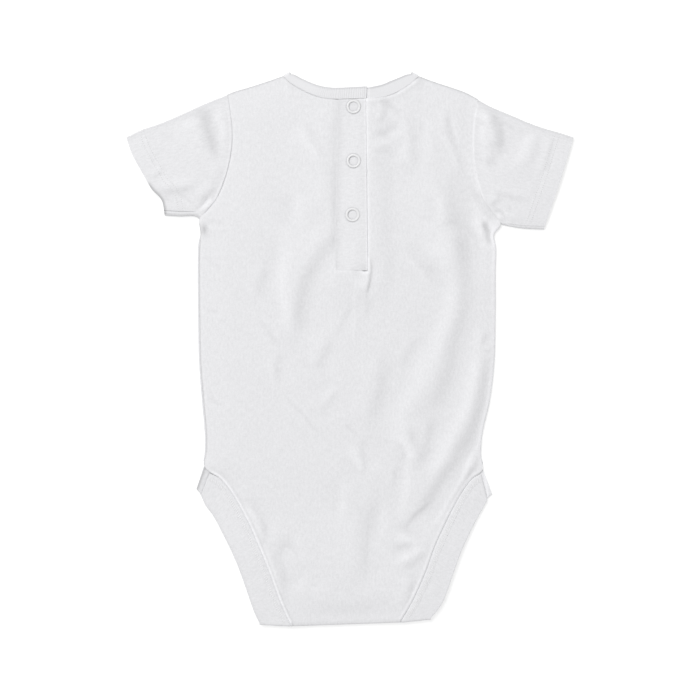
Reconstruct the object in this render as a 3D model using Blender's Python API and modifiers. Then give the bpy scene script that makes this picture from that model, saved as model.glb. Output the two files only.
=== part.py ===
"""Short-sleeved baby bodysuit, laid flat with its back side up.

Frame: metres, +Z up, +Y towards the neck, origin on the surface at the middle of the outline.
Lengths in the tables below are millimetres. The front of the garment lies on the surface,
the back lies on top of it, and every cut piece is its own closed wall of cloth.
"""
import math
from collections import namedtuple

import bmesh
import bpy
from mathutils import Vector

MM = 0.001

# Cloth and seams
CLOTH = 1.0                 # wall of the single jersey panels and sleeves
BAND_CLOTH = 1.2            # leg bands, doubled
STRIP_CLOTH = 1.4           # placket strips, doubled
RIB_CLOTH = 1.6             # neck rib, doubled, over its raised ribs
RIB_VALLEY = 0.72           # share of the rib wall that is left between two ribs
RIB_PITCH = 1.5             # one raised rib and one valley
SEAM_GAP = 0.3              # two pieces at a seam
CURVE_GAP = 0.45            # the same where both edges are curved and their corners don't meet

# Levels of the middle of each wall above the surface
FRONT_LEVEL = 0.5
SIDE_LEVEL = 1.8            # back panel where it meets the front at the side seam
SHOULDER_LEVEL = 1.9
ARMHOLE_LEVEL = 2.3
BACK_LEVEL = 3.6            # back panel away from its edges
UNDER_STRIP_LEVEL = 2.6
OVER_STRIP_LEVEL = 5.3
RIGHT_SLIT_LEVEL = 3.3      # back panel beside the lower strip
CROTCH_FRONT_LEVEL = 1.35
CROTCH_FLAP_LEVEL = 2.95
CROTCH_BACK_LEVEL = 4.45
EDGE_ROLL = 9.0             # width over which the back panel rises from an edge

# Placket
SLIT_LEFT = (-8.1, -9.8)    # left edge of the slit, at the neck and at its lower end
SLIT_RIGHT = 9.3
SLIT_END = 55.5             # height of the slit's lower end
STRIP_EDGE = (11.4, 14.2)   # free edge of the upper strip, at the neck and at its lower end
UNDER_STRIP_LEFT = -5.5
PLEAT_LENGTH = 34.0         # the step beside the placket dies out below it
PLEAT_FOOT = 4.0            # where the pleat under the placket ends, across the garment

# Snaps
SNAP_OUTER = 5.0
SNAP_INNER = 3.15
SNAP_HEIGHT = 0.7
STUD_RADIUS = 3.4
STUD_HEIGHT = 0.7
SNAP_PLACES = ((2.5, 169.9), (2.5, 132.0), (1.8, 94.4))
CROTCH_SNAP_HEIGHT = 0.5
CROTCH_SNAP_Y = -163.0
CROTCH_SNAP_PITCH = 22.0
SNAP_SIDES = 20

# Crotch
FLAP_END = -150.0           # where the turned-under end of the back stops
FLAP_HALF = 37.0            # half the cloth of the turned-under end
FLAP_BAND = 21.0
CROTCH_LIFT = (-128.0, -150.0)

# A row of a panel runs from its left edge to its right edge. crown is the share of the
# neck and shoulder line that the row still follows; rows is the steps to the next section.
Section = namedtuple("Section", "left_x left_y right_x right_y crown rows")

ARMHOLE_SECTIONS = (
    Section(-85.8, 178.3, 89.6, 174.9, 1.00, 2),
    Section(-84.0, 169.0, 87.8, 166.0, 0.93, 2),
    Section(-82.4, 155.3, 86.5, 154.0, 0.80, 2),
    Section(-82.4, 143.4, 86.1, 140.0, 0.66, 1),
    Section(-84.5, 129.9, 87.3, 127.0, 0.50, 2),
    Section(-87.9, 118.0, 90.0, 116.0, 0.36, 1),
    Section(-93.1, 106.0, 93.5, 105.0, 0.22, 1),
    Section(-99.8, 97.6, 98.7, 97.0, 0.10, 1),
    Section(-105.2, 91.6, 105.3, 88.2, 0.03, 1),
)
SIDE_SECTIONS = (
    Section(-104.3, 82.0, 100.6, 80.6, 0.0, 1),
    Section(-105.0, 70.4, 102.0, 70.4, 0.0, 2),
    Section(-105.2, 55.5, 101.5, 55.5, 0.0, 3),
    Section(-105.0, 30.0, 101.5, 30.0, 0.0, 4),
    Section(-104.3, -6.7, 100.8, -6.7, 0.0, 4),
    Section(-102.2, -34.7, 97.6, -34.7, 0.0, 3),
    Section(-100.3, -57.0, 92.6, -57.0, 0.0, 2),
    Section(-100.3, -71.0, 91.3, -72.0, 0.0, 1),
    Section(-101.9, -80.2, 92.6, -82.4, 0.0, 1),
)
BACK_LEG_SECTIONS = (
    Section(-97.8, -85.2, 90.6, -86.2, 0.0, 1),
    Section(-90.3, -90.3, 84.7, -90.9, 0.0, 2),
    Section(-80.9, -101.9, 75.3, -102.9, 0.0, 2),
    Section(-70.4, -120.8, 66.9, -118.7, 0.0, 2),
    Section(-63.0, -137.6, 58.5, -136.5, 0.0, 2),
    Section(-55.7, -155.4, 52.0, -154.4, 0.0, 2),
    Section(-48.3, -175.4, 43.2, -174.0, 0.0, 2),
    Section(-41.0, -191.9, 34.6, -189.2, 0.0, 1),
)
FRONT_LEG_SECTIONS = (
    Section(-90.0, -92.5, 81.5, -94.5, 0.0, 2),
    Section(-76.0, -108.0, 69.0, -109.0, 0.0, 2),
    Section(-62.0, -128.0, 56.5, -128.0, 0.0, 2),
    Section(-51.0, -151.0, 46.5, -151.0, 0.0, 2),
    Section(-44.5, -176.0, 39.0, -176.0, 0.0, 1),
)

# Line of the shoulders and of the back neck seam, from the left armhole to the right one
SHOULDER_LEFT = ((-85.8, 178.3), (-78.4, 181.0), (-70.0, 183.4), (-61.6, 186.1), (-53.2, 188.9),
                 (-46.4, 191.3))
NECK_SEAM = ((-46.4, 191.3), (-41.3, 186.3), (-30.1, 180.0), (-18.9, 176.0), (-7.7, 175.2),
             (1.4, 175.4), (9.8, 175.7), (21.7, 176.5), (33.6, 180.7), (42.7, 186.7), (47.8, 191.3))
SHOULDER_RIGHT = ((47.8, 191.3), (56.0, 188.1), (64.4, 185.3), (72.8, 182.5), (81.2, 179.4),
                  (89.6, 174.9))
FRONT_NECK_SEAM = ((-46.4, 191.3), (-39.2, 163.5), (-31.4, 151.5), (-23.6, 144.3), (-15.9, 139.8),
                   (-8.1, 137.3), (-2.3, 136.7), (3.5, 136.7), (9.3, 137.3), (17.3, 139.8),
                   (25.4, 144.5), (32.6, 151.5), (39.8, 163.5), (47.8, 191.3))

# Share of the way from an armhole or side edge to the placket, for each column
LEFT_COLUMNS = (0.0, 0.02, 0.06, 0.13, 0.22, 0.32, 0.41, 0.507, 0.60, 0.70, 0.80, 0.90, 1.0)
RIGHT_COLUMNS = (0.0, 0.10, 0.20, 0.29, 0.38, 0.479, 0.58, 0.68, 0.78, 0.87, 0.94, 0.98, 1.0)
PLACKET_COLUMNS = 3
PLAIN_COLUMNS = (1, 2, 4, 6, 21, 23, 25, 26)    # left out of the flat front

# Neck rib: seam edge and free edge, and the level of the rib's plain inside. The seam's
# height follows the panels' neck edges, apart from the shoulder folds.
RibSection = namedtuple("RibSection", "seam_x free_x free_y inside")
RIB_OVER_END = RibSection(11.2, 11.8, 184.2, 4.5)
RIB_BACK_LEFT = (
    RibSection(-8.1, -7.2, 183.2, 4.5),
    RibSection(-15.9, -14.2, 183.4, 4.2),
    RibSection(-23.6, -21.0, 184.6, 3.8),
    RibSection(-31.4, -27.8, 187.0, 3.3),
    RibSection(-39.2, -34.7, 190.2, 2.8),
)
RIB_FRONT = (
    RibSection(-39.2, -32.0, 167.3, 1.6),
    RibSection(-31.4, -25.2, 156.6, 1.6),
    RibSection(-23.6, -19.0, 150.8, 1.6),
    RibSection(-15.9, -13.0, 147.2, 1.6),
    RibSection(-8.1, -6.9, 145.2, 1.6),
    RibSection(-2.3, -2.1, 144.7, 1.6),
    RibSection(3.5, 3.2, 144.7, 1.6),
    RibSection(9.3, 8.1, 145.2, 1.6),
    RibSection(17.3, 14.7, 147.3, 1.6),
    RibSection(25.4, 20.6, 150.9, 1.6),
    RibSection(32.6, 26.6, 156.7, 1.6),
    RibSection(39.8, 32.6, 167.3, 1.6),
)
RIB_BACK_RIGHT = (
    RibSection(39.8, 34.9, 190.6, 2.7),
    RibSection(32.6, 28.4, 188.0, 2.6),
    RibSection(25.4, 22.4, 185.5, 2.4),
    RibSection(17.3, 16.0, 184.0, 2.1),
    RibSection(12.6, 12.8, 183.5, 1.8),
    RibSection(9.3, 9.4, 183.4, 1.7),
)
RIB_UNDER_END = RibSection(-6.0, -5.6, 182.8, 1.7)
RIB_FOLD_LEFT = ((-44.2, 189.7), (-40.2, 191.6))        # seam edge and free edge on the shoulder
RIB_FOLD_RIGHT = ((45.6, 189.7), (41.0, 191.6))
RIB_FOLD_INSIDE = (2.5, 1.6)                            # its back and front layers
RIB_FOLD_STEPS = 6

# Leg bands: edge along the body seam and outer edge
BandSection = namedtuple("BandSection", "seam_x seam_y outer_x outer_y rows")
BACK_BAND_LEFT = (
    BandSection(-98.2, -86.2, -104.2, -101.4, 1),
    BandSection(-90.3, -90.5, -100.8, -108.9, 2),
    BandSection(-80.9, -101.9, -95.0, -116.9, 2),
    BandSection(-70.4, -120.8, -87.4, -131.3, 2),
    BandSection(-63.0, -137.6, -80.6, -145.5, 2),
    BandSection(-55.7, -155.4, -74.5, -161.3, 2),
    BandSection(-48.3, -175.4, -67.8, -180.8, 2),
    BandSection(-41.0, -191.9, -63.4, -190.6, 1),
)
BACK_BAND_RIGHT = (
    BandSection(91.2, -86.6, 96.0, -104.8, 1),
    BandSection(84.7, -90.9, 92.9, -110.6, 2),
    BandSection(75.3, -102.9, 88.4, -118.6, 2),
    BandSection(66.9, -118.7, 83.0, -129.2, 2),
    BandSection(58.5, -136.5, 77.2, -142.0, 2),
    BandSection(52.0, -154.4, 71.6, -157.6, 2),
    BandSection(43.2, -174.0, 64.8, -176.0, 2),
    BandSection(34.6, -189.2, 56.6, -187.0, 1),
)
FRONT_BAND_LEFT = (
    BandSection(-102.1, -80.9, -107.4, -97.2, 2),
    BandSection(-90.0, -92.5, -103.4, -102.8, 2),
    BandSection(-76.0, -108.0, -91.0, -120.0, 2),
    BandSection(-62.0, -128.0, -78.5, -138.5, 2),
    BandSection(-51.0, -151.0, -69.5, -157.5, 2),
    BandSection(-44.5, -176.0, -63.5, -178.0, 1),
)
FRONT_BAND_RIGHT = (
    BandSection(92.9, -83.2, 99.4, -100.9, 2),
    BandSection(81.5, -94.5, 94.6, -105.8, 2),
    BandSection(69.0, -109.0, 83.0, -121.5, 2),
    BandSection(56.5, -128.0, 72.5, -138.5, 2),
    BandSection(46.5, -151.0, 64.5, -157.0, 2),
    BandSection(39.0, -176.0, 58.0, -178.0, 1),
)
BAND_COLUMNS = 3

# Sleeves: upper fold, cuff and lower fold, each from the body outwards or from top to bottom
SLEEVE_LEFT = {
    "top": ((-85.8, 178.3), (-95.2, 174.7), (-103.6, 171.2), (-112.0, 167.4), (-120.4, 163.6),
            (-128.8, 160.0), (-137.2, 156.8), (-145.6, 154.0), (-156.4, 148.8)),
    "cuff": ((-156.4, 148.8), (-152.6, 137.6), (-148.2, 129.2), (-143.4, 120.8), (-138.6, 112.4),
             (-131.6, 104.6), (-129.6, 95.3)),
    "bottom": ((-105.2, 91.6), (-109.6, 94.4), (-119.0, 94.6), (-129.6, 95.3)),
}
SLEEVE_RIGHT = {
    "top": ((89.6, 174.9), (98.0, 170.3), (106.4, 166.7), (114.8, 163.2), (123.2, 159.6),
            (131.6, 156.4), (140.0, 153.8), (148.4, 151.4), (156.4, 148.7)),
    "cuff": ((156.4, 148.7), (152.6, 136.6), (149.4, 126.0), (145.8, 114.8), (141.4, 102.0),
             (135.4, 85.0)),
    "bottom": ((105.3, 88.2), (109.4, 87.6), (121.0, 85.6), (135.4, 85.0)),
}
SLEEVE_STATIONS = 11
SLEEVE_UPPER_STEPS = 8
SLEEVE_FOLD_STEPS = 4
SLEEVE_LOWER_STEPS = 8

# Creases: a path through three points, half width, and rise (below zero is a trough)
Crease = namedtuple("Crease", "x0 y0 x1 y1 x2 y2 width rise")
BACK_CREASES = (
    Crease(65.1, 105.4, 79.5, 38.2, 60.2, -32.6, 9.0, -1.1),
    Crease(44.8, 90.0, 68.6, 35.7, 35.0, -50.8, 9.0, 0.9),
    Crease(21.7, 78.8, 41.3, 63.4, 56.7, 45.2, 5.0, -0.5),
    Crease(84.0, 98.4, 92.0, 82.0, 95.9, 65.5, 4.5, 0.7),
    Crease(92.1, 3.2, 86.8, -45.2, 70.0, -74.6, 6.0, -0.8),
    Crease(70.0, -74.6, 51.8, -101.9, 37.5, -127.1, 7.0, -0.7),
    Crease(77.0, -46.6, 72.0, -58.0, 65.1, -70.4, 5.0, 0.6),
    Crease(93.8, -62.7, 81.9, -80.2, 58.1, -122.2, 4.5, -0.6),
    Crease(41.3, -129.2, 53.2, -135.5, 28.7, -147.4, 4.0, 0.4),
    Crease(37.1, -73.2, 36.0, -98.0, 35.0, -123.6, 6.0, 0.6),
    Crease(16.1, -101.9, 16.1, -121.0, 16.1, -138.0, 6.0, -0.4),
    Crease(-13.0, 99.8, -32.9, 50.1, -36.1, 9.5, 9.0, -0.8),
    Crease(-49.0, 83.7, -52.5, 43.8, -44.8, 1.1, 8.0, 0.7),
    Crease(-56.7, 61.3, -61.0, 50.0, -65.8, 39.6, 6.0, -0.4),
    Crease(-60.2, 17.2, -55.0, 9.0, -50.4, 1.8, 4.5, -0.4),
    Crease(-52.5, -2.5, -50.4, -13.0, -48.3, -24.2, 5.0, -0.5),
    Crease(-56.0, -22.8, -25.9, -53.6, -2.1, -74.6, 4.5, -0.4),
    Crease(0.0, 34.0, -10.0, 14.0, -21.0, -4.6, 7.0, -0.4),
    Crease(-102.0, 82.3, -97.0, 78.0, -90.0, 74.0, 4.0, -0.5),
)
LEFT_SLEEVE_CREASES = (
    Crease(-108.5, 169.1, -101.0, 148.0, -93.1, 129.9, 5.0, -0.5),
    Crease(-136.5, 113.8, -122.0, 115.0, -108.5, 114.5, 4.0, -0.5),
    Crease(-120.4, 113.1, -115.0, 108.0, -110.6, 103.3, 3.5, -0.4),
    Crease(-106.4, 106.8, -100.0, 110.0, -93.8, 114.5, 3.5, 0.5),
)
RIGHT_SLEEVE_CREASES = (
    Crease(96.6, 169.8, 100.0, 154.0, 103.6, 136.9, 5.0, -0.5),
    Crease(100.0, 100.5, 105.0, 97.0, 110.0, 92.6, 3.5, -0.4),
    Crease(140.0, 148.0, 132.0, 120.0, 126.0, 96.0, 7.0, 0.4),
)
CREASE_TAPER = 0.28         # share of a crease's length over which each end dies out

# Finishes
JERSEY = ("white_jersey", (0.80, 0.80, 0.81, 1.0), 0.92)
RIB = ("white_rib", (0.80, 0.80, 0.81, 1.0), 0.94)
ENAMEL = ("white_enamel", (0.84, 0.84, 0.84, 1.0), 0.35)


def lerp(start, end, share):
    """Value at a share of the way from start to end."""
    return start + (end - start) * share


def ease(value):
    """Smooth step from 0 to 1, held outside that range."""
    held = min(max(value, 0.0), 1.0)
    return held * held * (3.0 - 2.0 * held)


def roll(distance):
    """Rise of a soft edge, 0 on the edge and 1 at EDGE_ROLL from it."""
    return math.sin(min(max(distance / EDGE_ROLL, 0.0), 1.0) * math.pi / 2.0)


def spline(before, start, end, after, share):
    """Catmull-Rom value between start and end."""
    slope_in = (end - before) * 0.5
    slope_out = (after - start) * 0.5
    square = share * share
    cube = square * share
    return ((2.0 * cube - 3.0 * square + 1.0) * start + (cube - 2.0 * square + share) * slope_in
            + (3.0 * square - 2.0 * cube) * end + (cube - square) * slope_out)


def along(points, share):
    """Point on a smooth curve through points, at a share of its length."""
    lengths = [0.0]
    for first, second in zip(points, points[1:]):
        lengths.append(lengths[-1] + math.dist(first, second))
    target = min(max(share, 0.0), 1.0) * lengths[-1]
    index = 0
    while index < len(points) - 2 and lengths[index + 1] < target:
        index += 1
    local = (target - lengths[index]) / (lengths[index + 1] - lengths[index])
    before = points[max(index - 1, 0)]
    after = points[min(index + 2, len(points) - 1)]
    return tuple(spline(before[axis], points[index][axis], points[index + 1][axis], after[axis], local)
                 for axis in range(len(points[0])))


def height_at(points, x):
    """Height of a line, given from left to right, at a place across the garment."""
    for (x0, y0), (x1, y1) in zip(points, points[1:]):
        if x <= x1:
            return lerp(y0, y1, (x - x0) / (x1 - x0))
    return points[-1][1]


def smooth_rows(sections, fields):
    """Rows of a panel: the named fields of its sections, with smooth steps between them."""
    rows = []
    last = len(sections) - 1
    for index, section in enumerate(sections[:-1]):
        near = (sections[max(index - 1, 0)], section, sections[index + 1], sections[min(index + 2, last)])
        for step in range(section.rows):
            share = step / section.rows
            rows.append(tuple(spline(*(getattr(item, field) for item in near), share) for field in fields))
    rows.append(tuple(getattr(sections[-1], field) for field in fields))
    return rows


def crease_height(creases, x, y):
    """Sum of the creases' rises at a point."""
    total = 0.0
    for crease in creases:
        path = ((crease.x0, crease.y0), (crease.x1, crease.y1), (crease.x2, crease.y2))
        best = None
        for index in range(2):
            (ax, ay), (bx, by) = path[index], path[index + 1]
            length = math.dist(path[index], path[index + 1])
            share = ((x - ax) * (bx - ax) + (y - ay) * (by - ay)) / (length * length)
            share = min(max(share, 0.0), 1.0)
            gap = math.hypot(x - lerp(ax, bx, share), y - lerp(ay, by, share))
            if best is None or gap < best[0]:
                best = (gap, (index + share) / 2.0)
        gap, place = best
        if gap > 2.5 * crease.width:
            continue
        taper = ease(place / CREASE_TAPER) * ease((1.0 - place) / CREASE_TAPER)
        total += crease.rise * taper * math.exp(-(gap / crease.width) ** 2)
    return total


def top_line(x, neck):
    """Height of the shoulders and of the given neck seam at a place across the garment."""
    return height_at(SHOULDER_LEFT + neck[1:] + SHOULDER_RIGHT[1:], x)


def slit_left(y):
    """Left edge of the placket's slit at a height."""
    return lerp(SLIT_LEFT[1], SLIT_LEFT[0], ease((y - SLIT_END) / (175.0 - SLIT_END)))


def strip_edge(y):
    """Free edge of the upper placket strip at a height."""
    return lerp(STRIP_EDGE[1], STRIP_EDGE[0], min(max((y - SLIT_END) / (175.0 - SLIT_END), 0.0), 1.0))


def edge_level(y):
    """Level of the back panel's left and right edges at a height."""
    if y > 91.0:
        return ARMHOLE_LEVEL
    if y > -76.0:
        return lerp(ARMHOLE_LEVEL, SIDE_LEVEL, ease((91.0 - y) / 14.0))
    side = lerp(SIDE_LEVEL, 2.3, ease((-76.0 - y) / 10.0))
    return lerp(side, CROTCH_BACK_LEVEL, ease((-90.0 - y) / 58.0))


def back_level(x, y, left, right):
    """Middle of the back's wall at a point whose row has the given left and right ends."""
    middle = lerp(BACK_LEVEL, CROTCH_BACK_LEVEL, ease((-112.0 - y) / 36.0))
    beside = ease((y - SLIT_END + PLEAT_LENGTH) / PLEAT_LENGTH)
    step = SLIT_RIGHT - 0.01 if y >= SLIT_END else lerp(STRIP_EDGE[1], PLEAT_FOOT, (SLIT_END - y) / PLEAT_LENGTH)
    if x < step:
        away = max(slit_left(y) - x, 0.0)
        middle += beside * (OVER_STRIP_LEVEL - BACK_LEVEL) * math.exp(-(away / 20.0) ** 2)
    else:
        middle -= beside * (BACK_LEVEL - RIGHT_SLIT_LEVEL) * math.exp(-((x - step) / 14.0) ** 2)
    edge = edge_level(y)
    inside = roll(min(x - left, right - x))
    level = lerp(edge, middle, inside)
    outside_neck = ease((abs(x - 0.7) - 44.0) / 6.0)
    shoulder = roll(top_line(x, NECK_SEAM) - y)
    level = lerp(level, lerp(SHOULDER_LEVEL, level, shoulder), outside_neck)
    creased = level + crease_height(BACK_CREASES, x, y) * inside
    floor = CROTCH_BACK_LEVEL if y < -145.0 else SIDE_LEVEL
    return max(creased, min(level, floor))


def front_level(y):
    """Middle of the front's wall: flat on the surface, lifted by the snaps at the crotch."""
    return lerp(FRONT_LEVEL, CROTCH_FRONT_LEVEL, ease((CROTCH_LIFT[0] - y) / (CROTCH_LIFT[0] - CROTCH_LIFT[1])))


def make_material(finish):
    """Principled material of a finish."""
    name, colour, roughness = finish
    material = bpy.data.materials.get(name)
    if material is None:
        material = bpy.data.materials.new(name)
        material.use_nodes = True
        shader = material.node_tree.nodes["Principled BSDF"]
        shader.inputs["Base Color"].default_value = colour
        shader.inputs["Roughness"].default_value = roughness
        shader.inputs["Metallic"].default_value = 0.0
        material.diffuse_color = colour
    return material


def add_object(name, mesh, finish):
    """Object of a mesh in the garment's collection, with its finish."""
    mesh.materials.append(make_material(finish))
    obj = bpy.data.objects.new(name, mesh)
    bpy.data.collections["baby_bodysuit"].objects.link(obj)
    return obj


def cloth(name, columns, rows, place, wall, finish, drop=None, closed=False, offset=0.0):
    """Wall of cloth over a grid.

    place(column, row) gives a point in millimetres, drop(column, row) is true for a grid
    square that is cut away, and a closed cloth has its last column on its first.
    """
    form = bmesh.new()
    bmesh.ops.create_grid(form, x_segments=columns, y_segments=rows, size=1.0)
    spots = {}
    for vert in form.verts:
        column = round((vert.co.x + 1.0) * 0.5 * columns)
        row = round((vert.co.y + 1.0) * 0.5 * rows)
        spots[vert] = (column, row)
    if drop is not None:
        gone = [face for face in form.faces
                if drop(min(spots[v][0] for v in face.verts), min(spots[v][1] for v in face.verts))]
        bmesh.ops.delete(form, geom=gone, context="FACES")
    for vert in form.verts:
        vert.co = Vector(place(*spots[vert])) * MM
    if closed:
        bmesh.ops.remove_doubles(form, verts=form.verts, dist=0.00001)
    mesh = bpy.data.meshes.new(name)
    form.to_mesh(mesh)
    form.free()
    mesh.shade_smooth()
    obj = add_object(name, mesh, finish)
    shell = obj.modifiers.new("wall", "SOLIDIFY")
    shell.thickness = wall * MM
    shell.offset = offset
    return obj


def panel_columns(left, right, y):
    """Places of a body row's columns, which keep the placket's two edges as straight lines."""
    edge_left = slit_left(y)
    share = ease((-60.0 - y) / 100.0)
    near_left = lerp(edge_left, lerp(left, right, 0.40), share)
    near_right = lerp(SLIT_RIGHT, lerp(left, right, 0.62), share)
    places = [lerp(left, near_left, part) for part in LEFT_COLUMNS]
    for step in range(1, PLACKET_COLUMNS):
        places.append(lerp(near_left, near_right, step / PLACKET_COLUMNS))
    places.extend(lerp(near_right, right, part) for part in RIGHT_COLUMNS)
    return places


def row_points(row, neck):
    """Plan points of a body row, bent to the shoulders and the neck by its crown."""
    left_x, left_y, right_x, right_y, crown = row
    left = left_x + SEAM_GAP / 2.0
    right = right_x - SEAM_GAP / 2.0
    top = ARMHOLE_SECTIONS[0]
    spread = panel_columns(top.left_x, top.right_x, 175.0)
    points = []
    for x, x_top in zip(panel_columns(left, right, lerp(left_y, right_y, 0.5)), spread):
        share = (x - left) / (right - left)
        share_top = (x_top - top.left_x) / (top.right_x - top.left_x)
        bend = top_line(x_top, neck) - lerp(top.left_y, top.right_y, share_top)
        points.append((x, lerp(left_y, right_y, share) + crown * bend))
    return points, left, right


def build_back_panel():
    """Back panel: slit for the placket, leg cuts, and its lower end turned under."""
    sections = ARMHOLE_SECTIONS + SIDE_SECTIONS + BACK_LEG_SECTIONS
    rows = smooth_rows(sections, ("left_x", "left_y", "right_x", "right_y", "crown"))
    table = []
    for row in rows:
        points, left, right = row_points(row, NECK_SEAM)
        table.append([(x, y, back_level(x, y, left, right)) for x, y in points])
    table.extend(turn_under(table[-1], -FLAP_HALF, FLAP_HALF))
    slit_rows = sum(section.rows for section in sections if section.left_y > SLIT_END)
    first = len(LEFT_COLUMNS) - 1

    def place(column, row):
        return table[row][column]

    def in_slit(column, row):
        return first <= column < first + PLACKET_COLUMNS and row < slit_rows

    cloth("back_panel", len(table[0]) - 1, len(table) - 1, place, CLOTH, JERSEY, drop=in_slit, offset=0.0)


def turn_under(last_row, left, right):
    """Rows that carry a row round the crotch fold and back up under the garment."""
    radius = (CROTCH_BACK_LEVEL - CROTCH_FLAP_LEVEL) / 2.0
    rows = []
    for step in range(1, 5):
        angle = math.pi * step / 5.0
        rows.append([(x, y - radius * math.sin(angle), CROTCH_BACK_LEVEL - radius * (1.0 - math.cos(angle)))
                     for x, y, _ in last_row])
    count = len(last_row) - 1
    for step in range(4):
        share = step / 3.0
        rows.append([(lerp(x, lerp(left, right, index / count), ease(share)), lerp(y, FLAP_END, share),
                      CROTCH_FLAP_LEVEL) for index, (x, y, _) in enumerate(last_row)])
    return rows


def build_front_panel():
    """Front panel: flat on the surface, with the lower neck, leg cuts and the crotch end."""
    sections = ARMHOLE_SECTIONS + tuple(item._replace(rows=1) for item in SIDE_SECTIONS) + FRONT_LEG_SECTIONS
    table = []
    for row in smooth_rows(sections, ("left_x", "left_y", "right_x", "right_y", "crown")):
        points = row_points(row, FRONT_NECK_SEAM)[0]
        table.append([(x, y, front_level(y)) for index, (x, y) in enumerate(points) if index not in PLAIN_COLUMNS])
    cloth("front_panel", len(table[0]) - 1, len(table) - 1, lambda column, row: table[row][column], CLOTH, JERSEY)


def patch_point(sides, across, down):
    """Plan point of a sleeve: across from the body to the cuff, down from upper to lower fold."""
    armhole, cuff, top, bottom = sides
    (ax, ay), (cx, cy) = along(armhole, down), along(cuff, down)
    (tx, ty), (bx, by) = along(top, across), along(bottom, across)
    corners = (armhole[0], cuff[0], armhole[-1], cuff[-1])
    point = []
    for axis, (arm, end, high, low) in enumerate(((ax, cx, tx, bx), (ay, cy, ty, by))):
        flat = lerp(lerp(corners[0][axis], corners[1][axis], across),
                    lerp(corners[2][axis], corners[3][axis], across), down)
        point.append(lerp(arm, end, across) + lerp(high, low, down) - flat)
    return tuple(point)


def build_sleeve(name, outline, armhole, side, creases):
    """Sleeve: one flattened tube from its armhole to its cuff, folded above and below."""
    start = tuple((x + side * CURVE_GAP, y) for x, y in armhole)
    sides = (start, outline["cuff"], (start[0],) + outline["top"][1:], (start[-1],) + outline["bottom"][1:])
    radius = (ARMHOLE_LEVEL - FRONT_LEVEL) / 2.0
    centre = (ARMHOLE_LEVEL + FRONT_LEVEL) / 2.0
    inset = radius + CLOTH / 2.0
    ring = [("upper", step / SLEEVE_UPPER_STEPS) for step in range(SLEEVE_UPPER_STEPS + 1)]
    ring += [("low_fold", step / SLEEVE_FOLD_STEPS) for step in range(1, SLEEVE_FOLD_STEPS)]
    ring += [("lower", 1.0 - step / SLEEVE_LOWER_STEPS) for step in range(SLEEVE_LOWER_STEPS + 1)]
    ring += [("top_fold", step / SLEEVE_FOLD_STEPS) for step in range(1, SLEEVE_FOLD_STEPS)]
    ring.append(ring[0])

    def place(column, row):
        part, share = ring[column if side > 0 else len(ring) - 1 - column]
        across = row / SLEEVE_STATIONS
        high, low = patch_point(sides, across, 0.0), patch_point(sides, across, 1.0)
        reach = inset / math.dist(high, low)
        if part in ("upper", "lower"):
            x, y = patch_point(sides, across, lerp(reach, 1.0 - reach, share))
            if part == "lower":
                return x, y, FRONT_LEVEL
            puff = math.sin(math.pi * share) * 0.9
            soft = min(1.0, 3.0 * min(share, 1.0 - share)) * ease(across * 6.0)
            level = ARMHOLE_LEVEL + puff * ease(across * 8.0) + crease_height(creases, x, y) * soft
            return x, y, max(level, ARMHOLE_LEVEL - 0.1)
        down, far = (1.0 - reach, 1.0) if part == "low_fold" else (reach, 0.0)
        x, y = patch_point(sides, across, down)
        x_far, y_far = patch_point(sides, across, far)
        angle = math.pi * share
        out = math.sin(angle) * radius / inset
        rise = math.cos(angle) if part == "low_fold" else -math.cos(angle)
        return lerp(x, x_far, out), lerp(y, y_far, out), centre + radius * rise

    cloth(name, len(ring) - 1, SLEEVE_STATIONS, place, CLOTH, JERSEY, closed=True)


def rib_station(section, neck):
    """Seam point, free point and inside level of a rib section on a neck edge."""
    seam = Vector((section.seam_x, top_line(section.seam_x, neck)))
    free = Vector((section.free_x, section.free_y))
    seam += (free - seam).normalized() * CURVE_GAP
    return (*seam, *free, section.inside)


def rib_fold(line, start, end):
    """Stations that carry the rib round a shoulder fold, from one layer to the other."""
    seam, free = Vector(line[0]), Vector(line[1])
    along_fold = (free - seam).normalized()
    outward = Vector((-along_fold.y, along_fold.x))
    if outward.y < 0.0:
        outward.negate()
    stations = []
    for step in range(RIB_FOLD_STEPS + 1):
        angle = math.pi * step / RIB_FOLD_STEPS
        push = outward * (abs(start - end) / 2.0 * math.sin(angle))
        level = (start + end) / 2.0 + (start - end) / 2.0 * math.cos(angle)
        stations.append((*(seam + push), *(free + push), level))
    return stations


def rib_stations():
    """Stations round the neck rib, a rib or a valley apart, from its upper to its lower end."""
    back, front = RIB_FOLD_INSIDE
    folds = (rib_fold(RIB_FOLD_LEFT, back, front), rib_fold(RIB_FOLD_RIGHT, front, back))
    upper = [rib_station(item, NECK_SEAM) for item in (RIB_OVER_END,) + RIB_BACK_LEFT] + [folds[0][0]]
    below = [folds[0][-1]] + [rib_station(item, FRONT_NECK_SEAM) for item in RIB_FRONT] + [folds[1][0]]
    lower = [folds[1][-1]] + [rib_station(item, NECK_SEAM) for item in RIB_BACK_RIGHT + (RIB_UNDER_END,)]
    stations = []
    for points, fold in ((upper, folds[0][1:-1]), (below, folds[1][1:-1]), (lower, ())):
        for start, end in zip(points, points[1:]):
            steps = max(1, round(math.dist(start[:2], end[:2]) / (RIB_PITCH / 2.0)))
            stations.extend(tuple(lerp(a, b, step / steps) for a, b in zip(start, end)) for step in range(steps))
        stations.append(points[-1])
        stations.extend(fold)
    return stations


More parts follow.
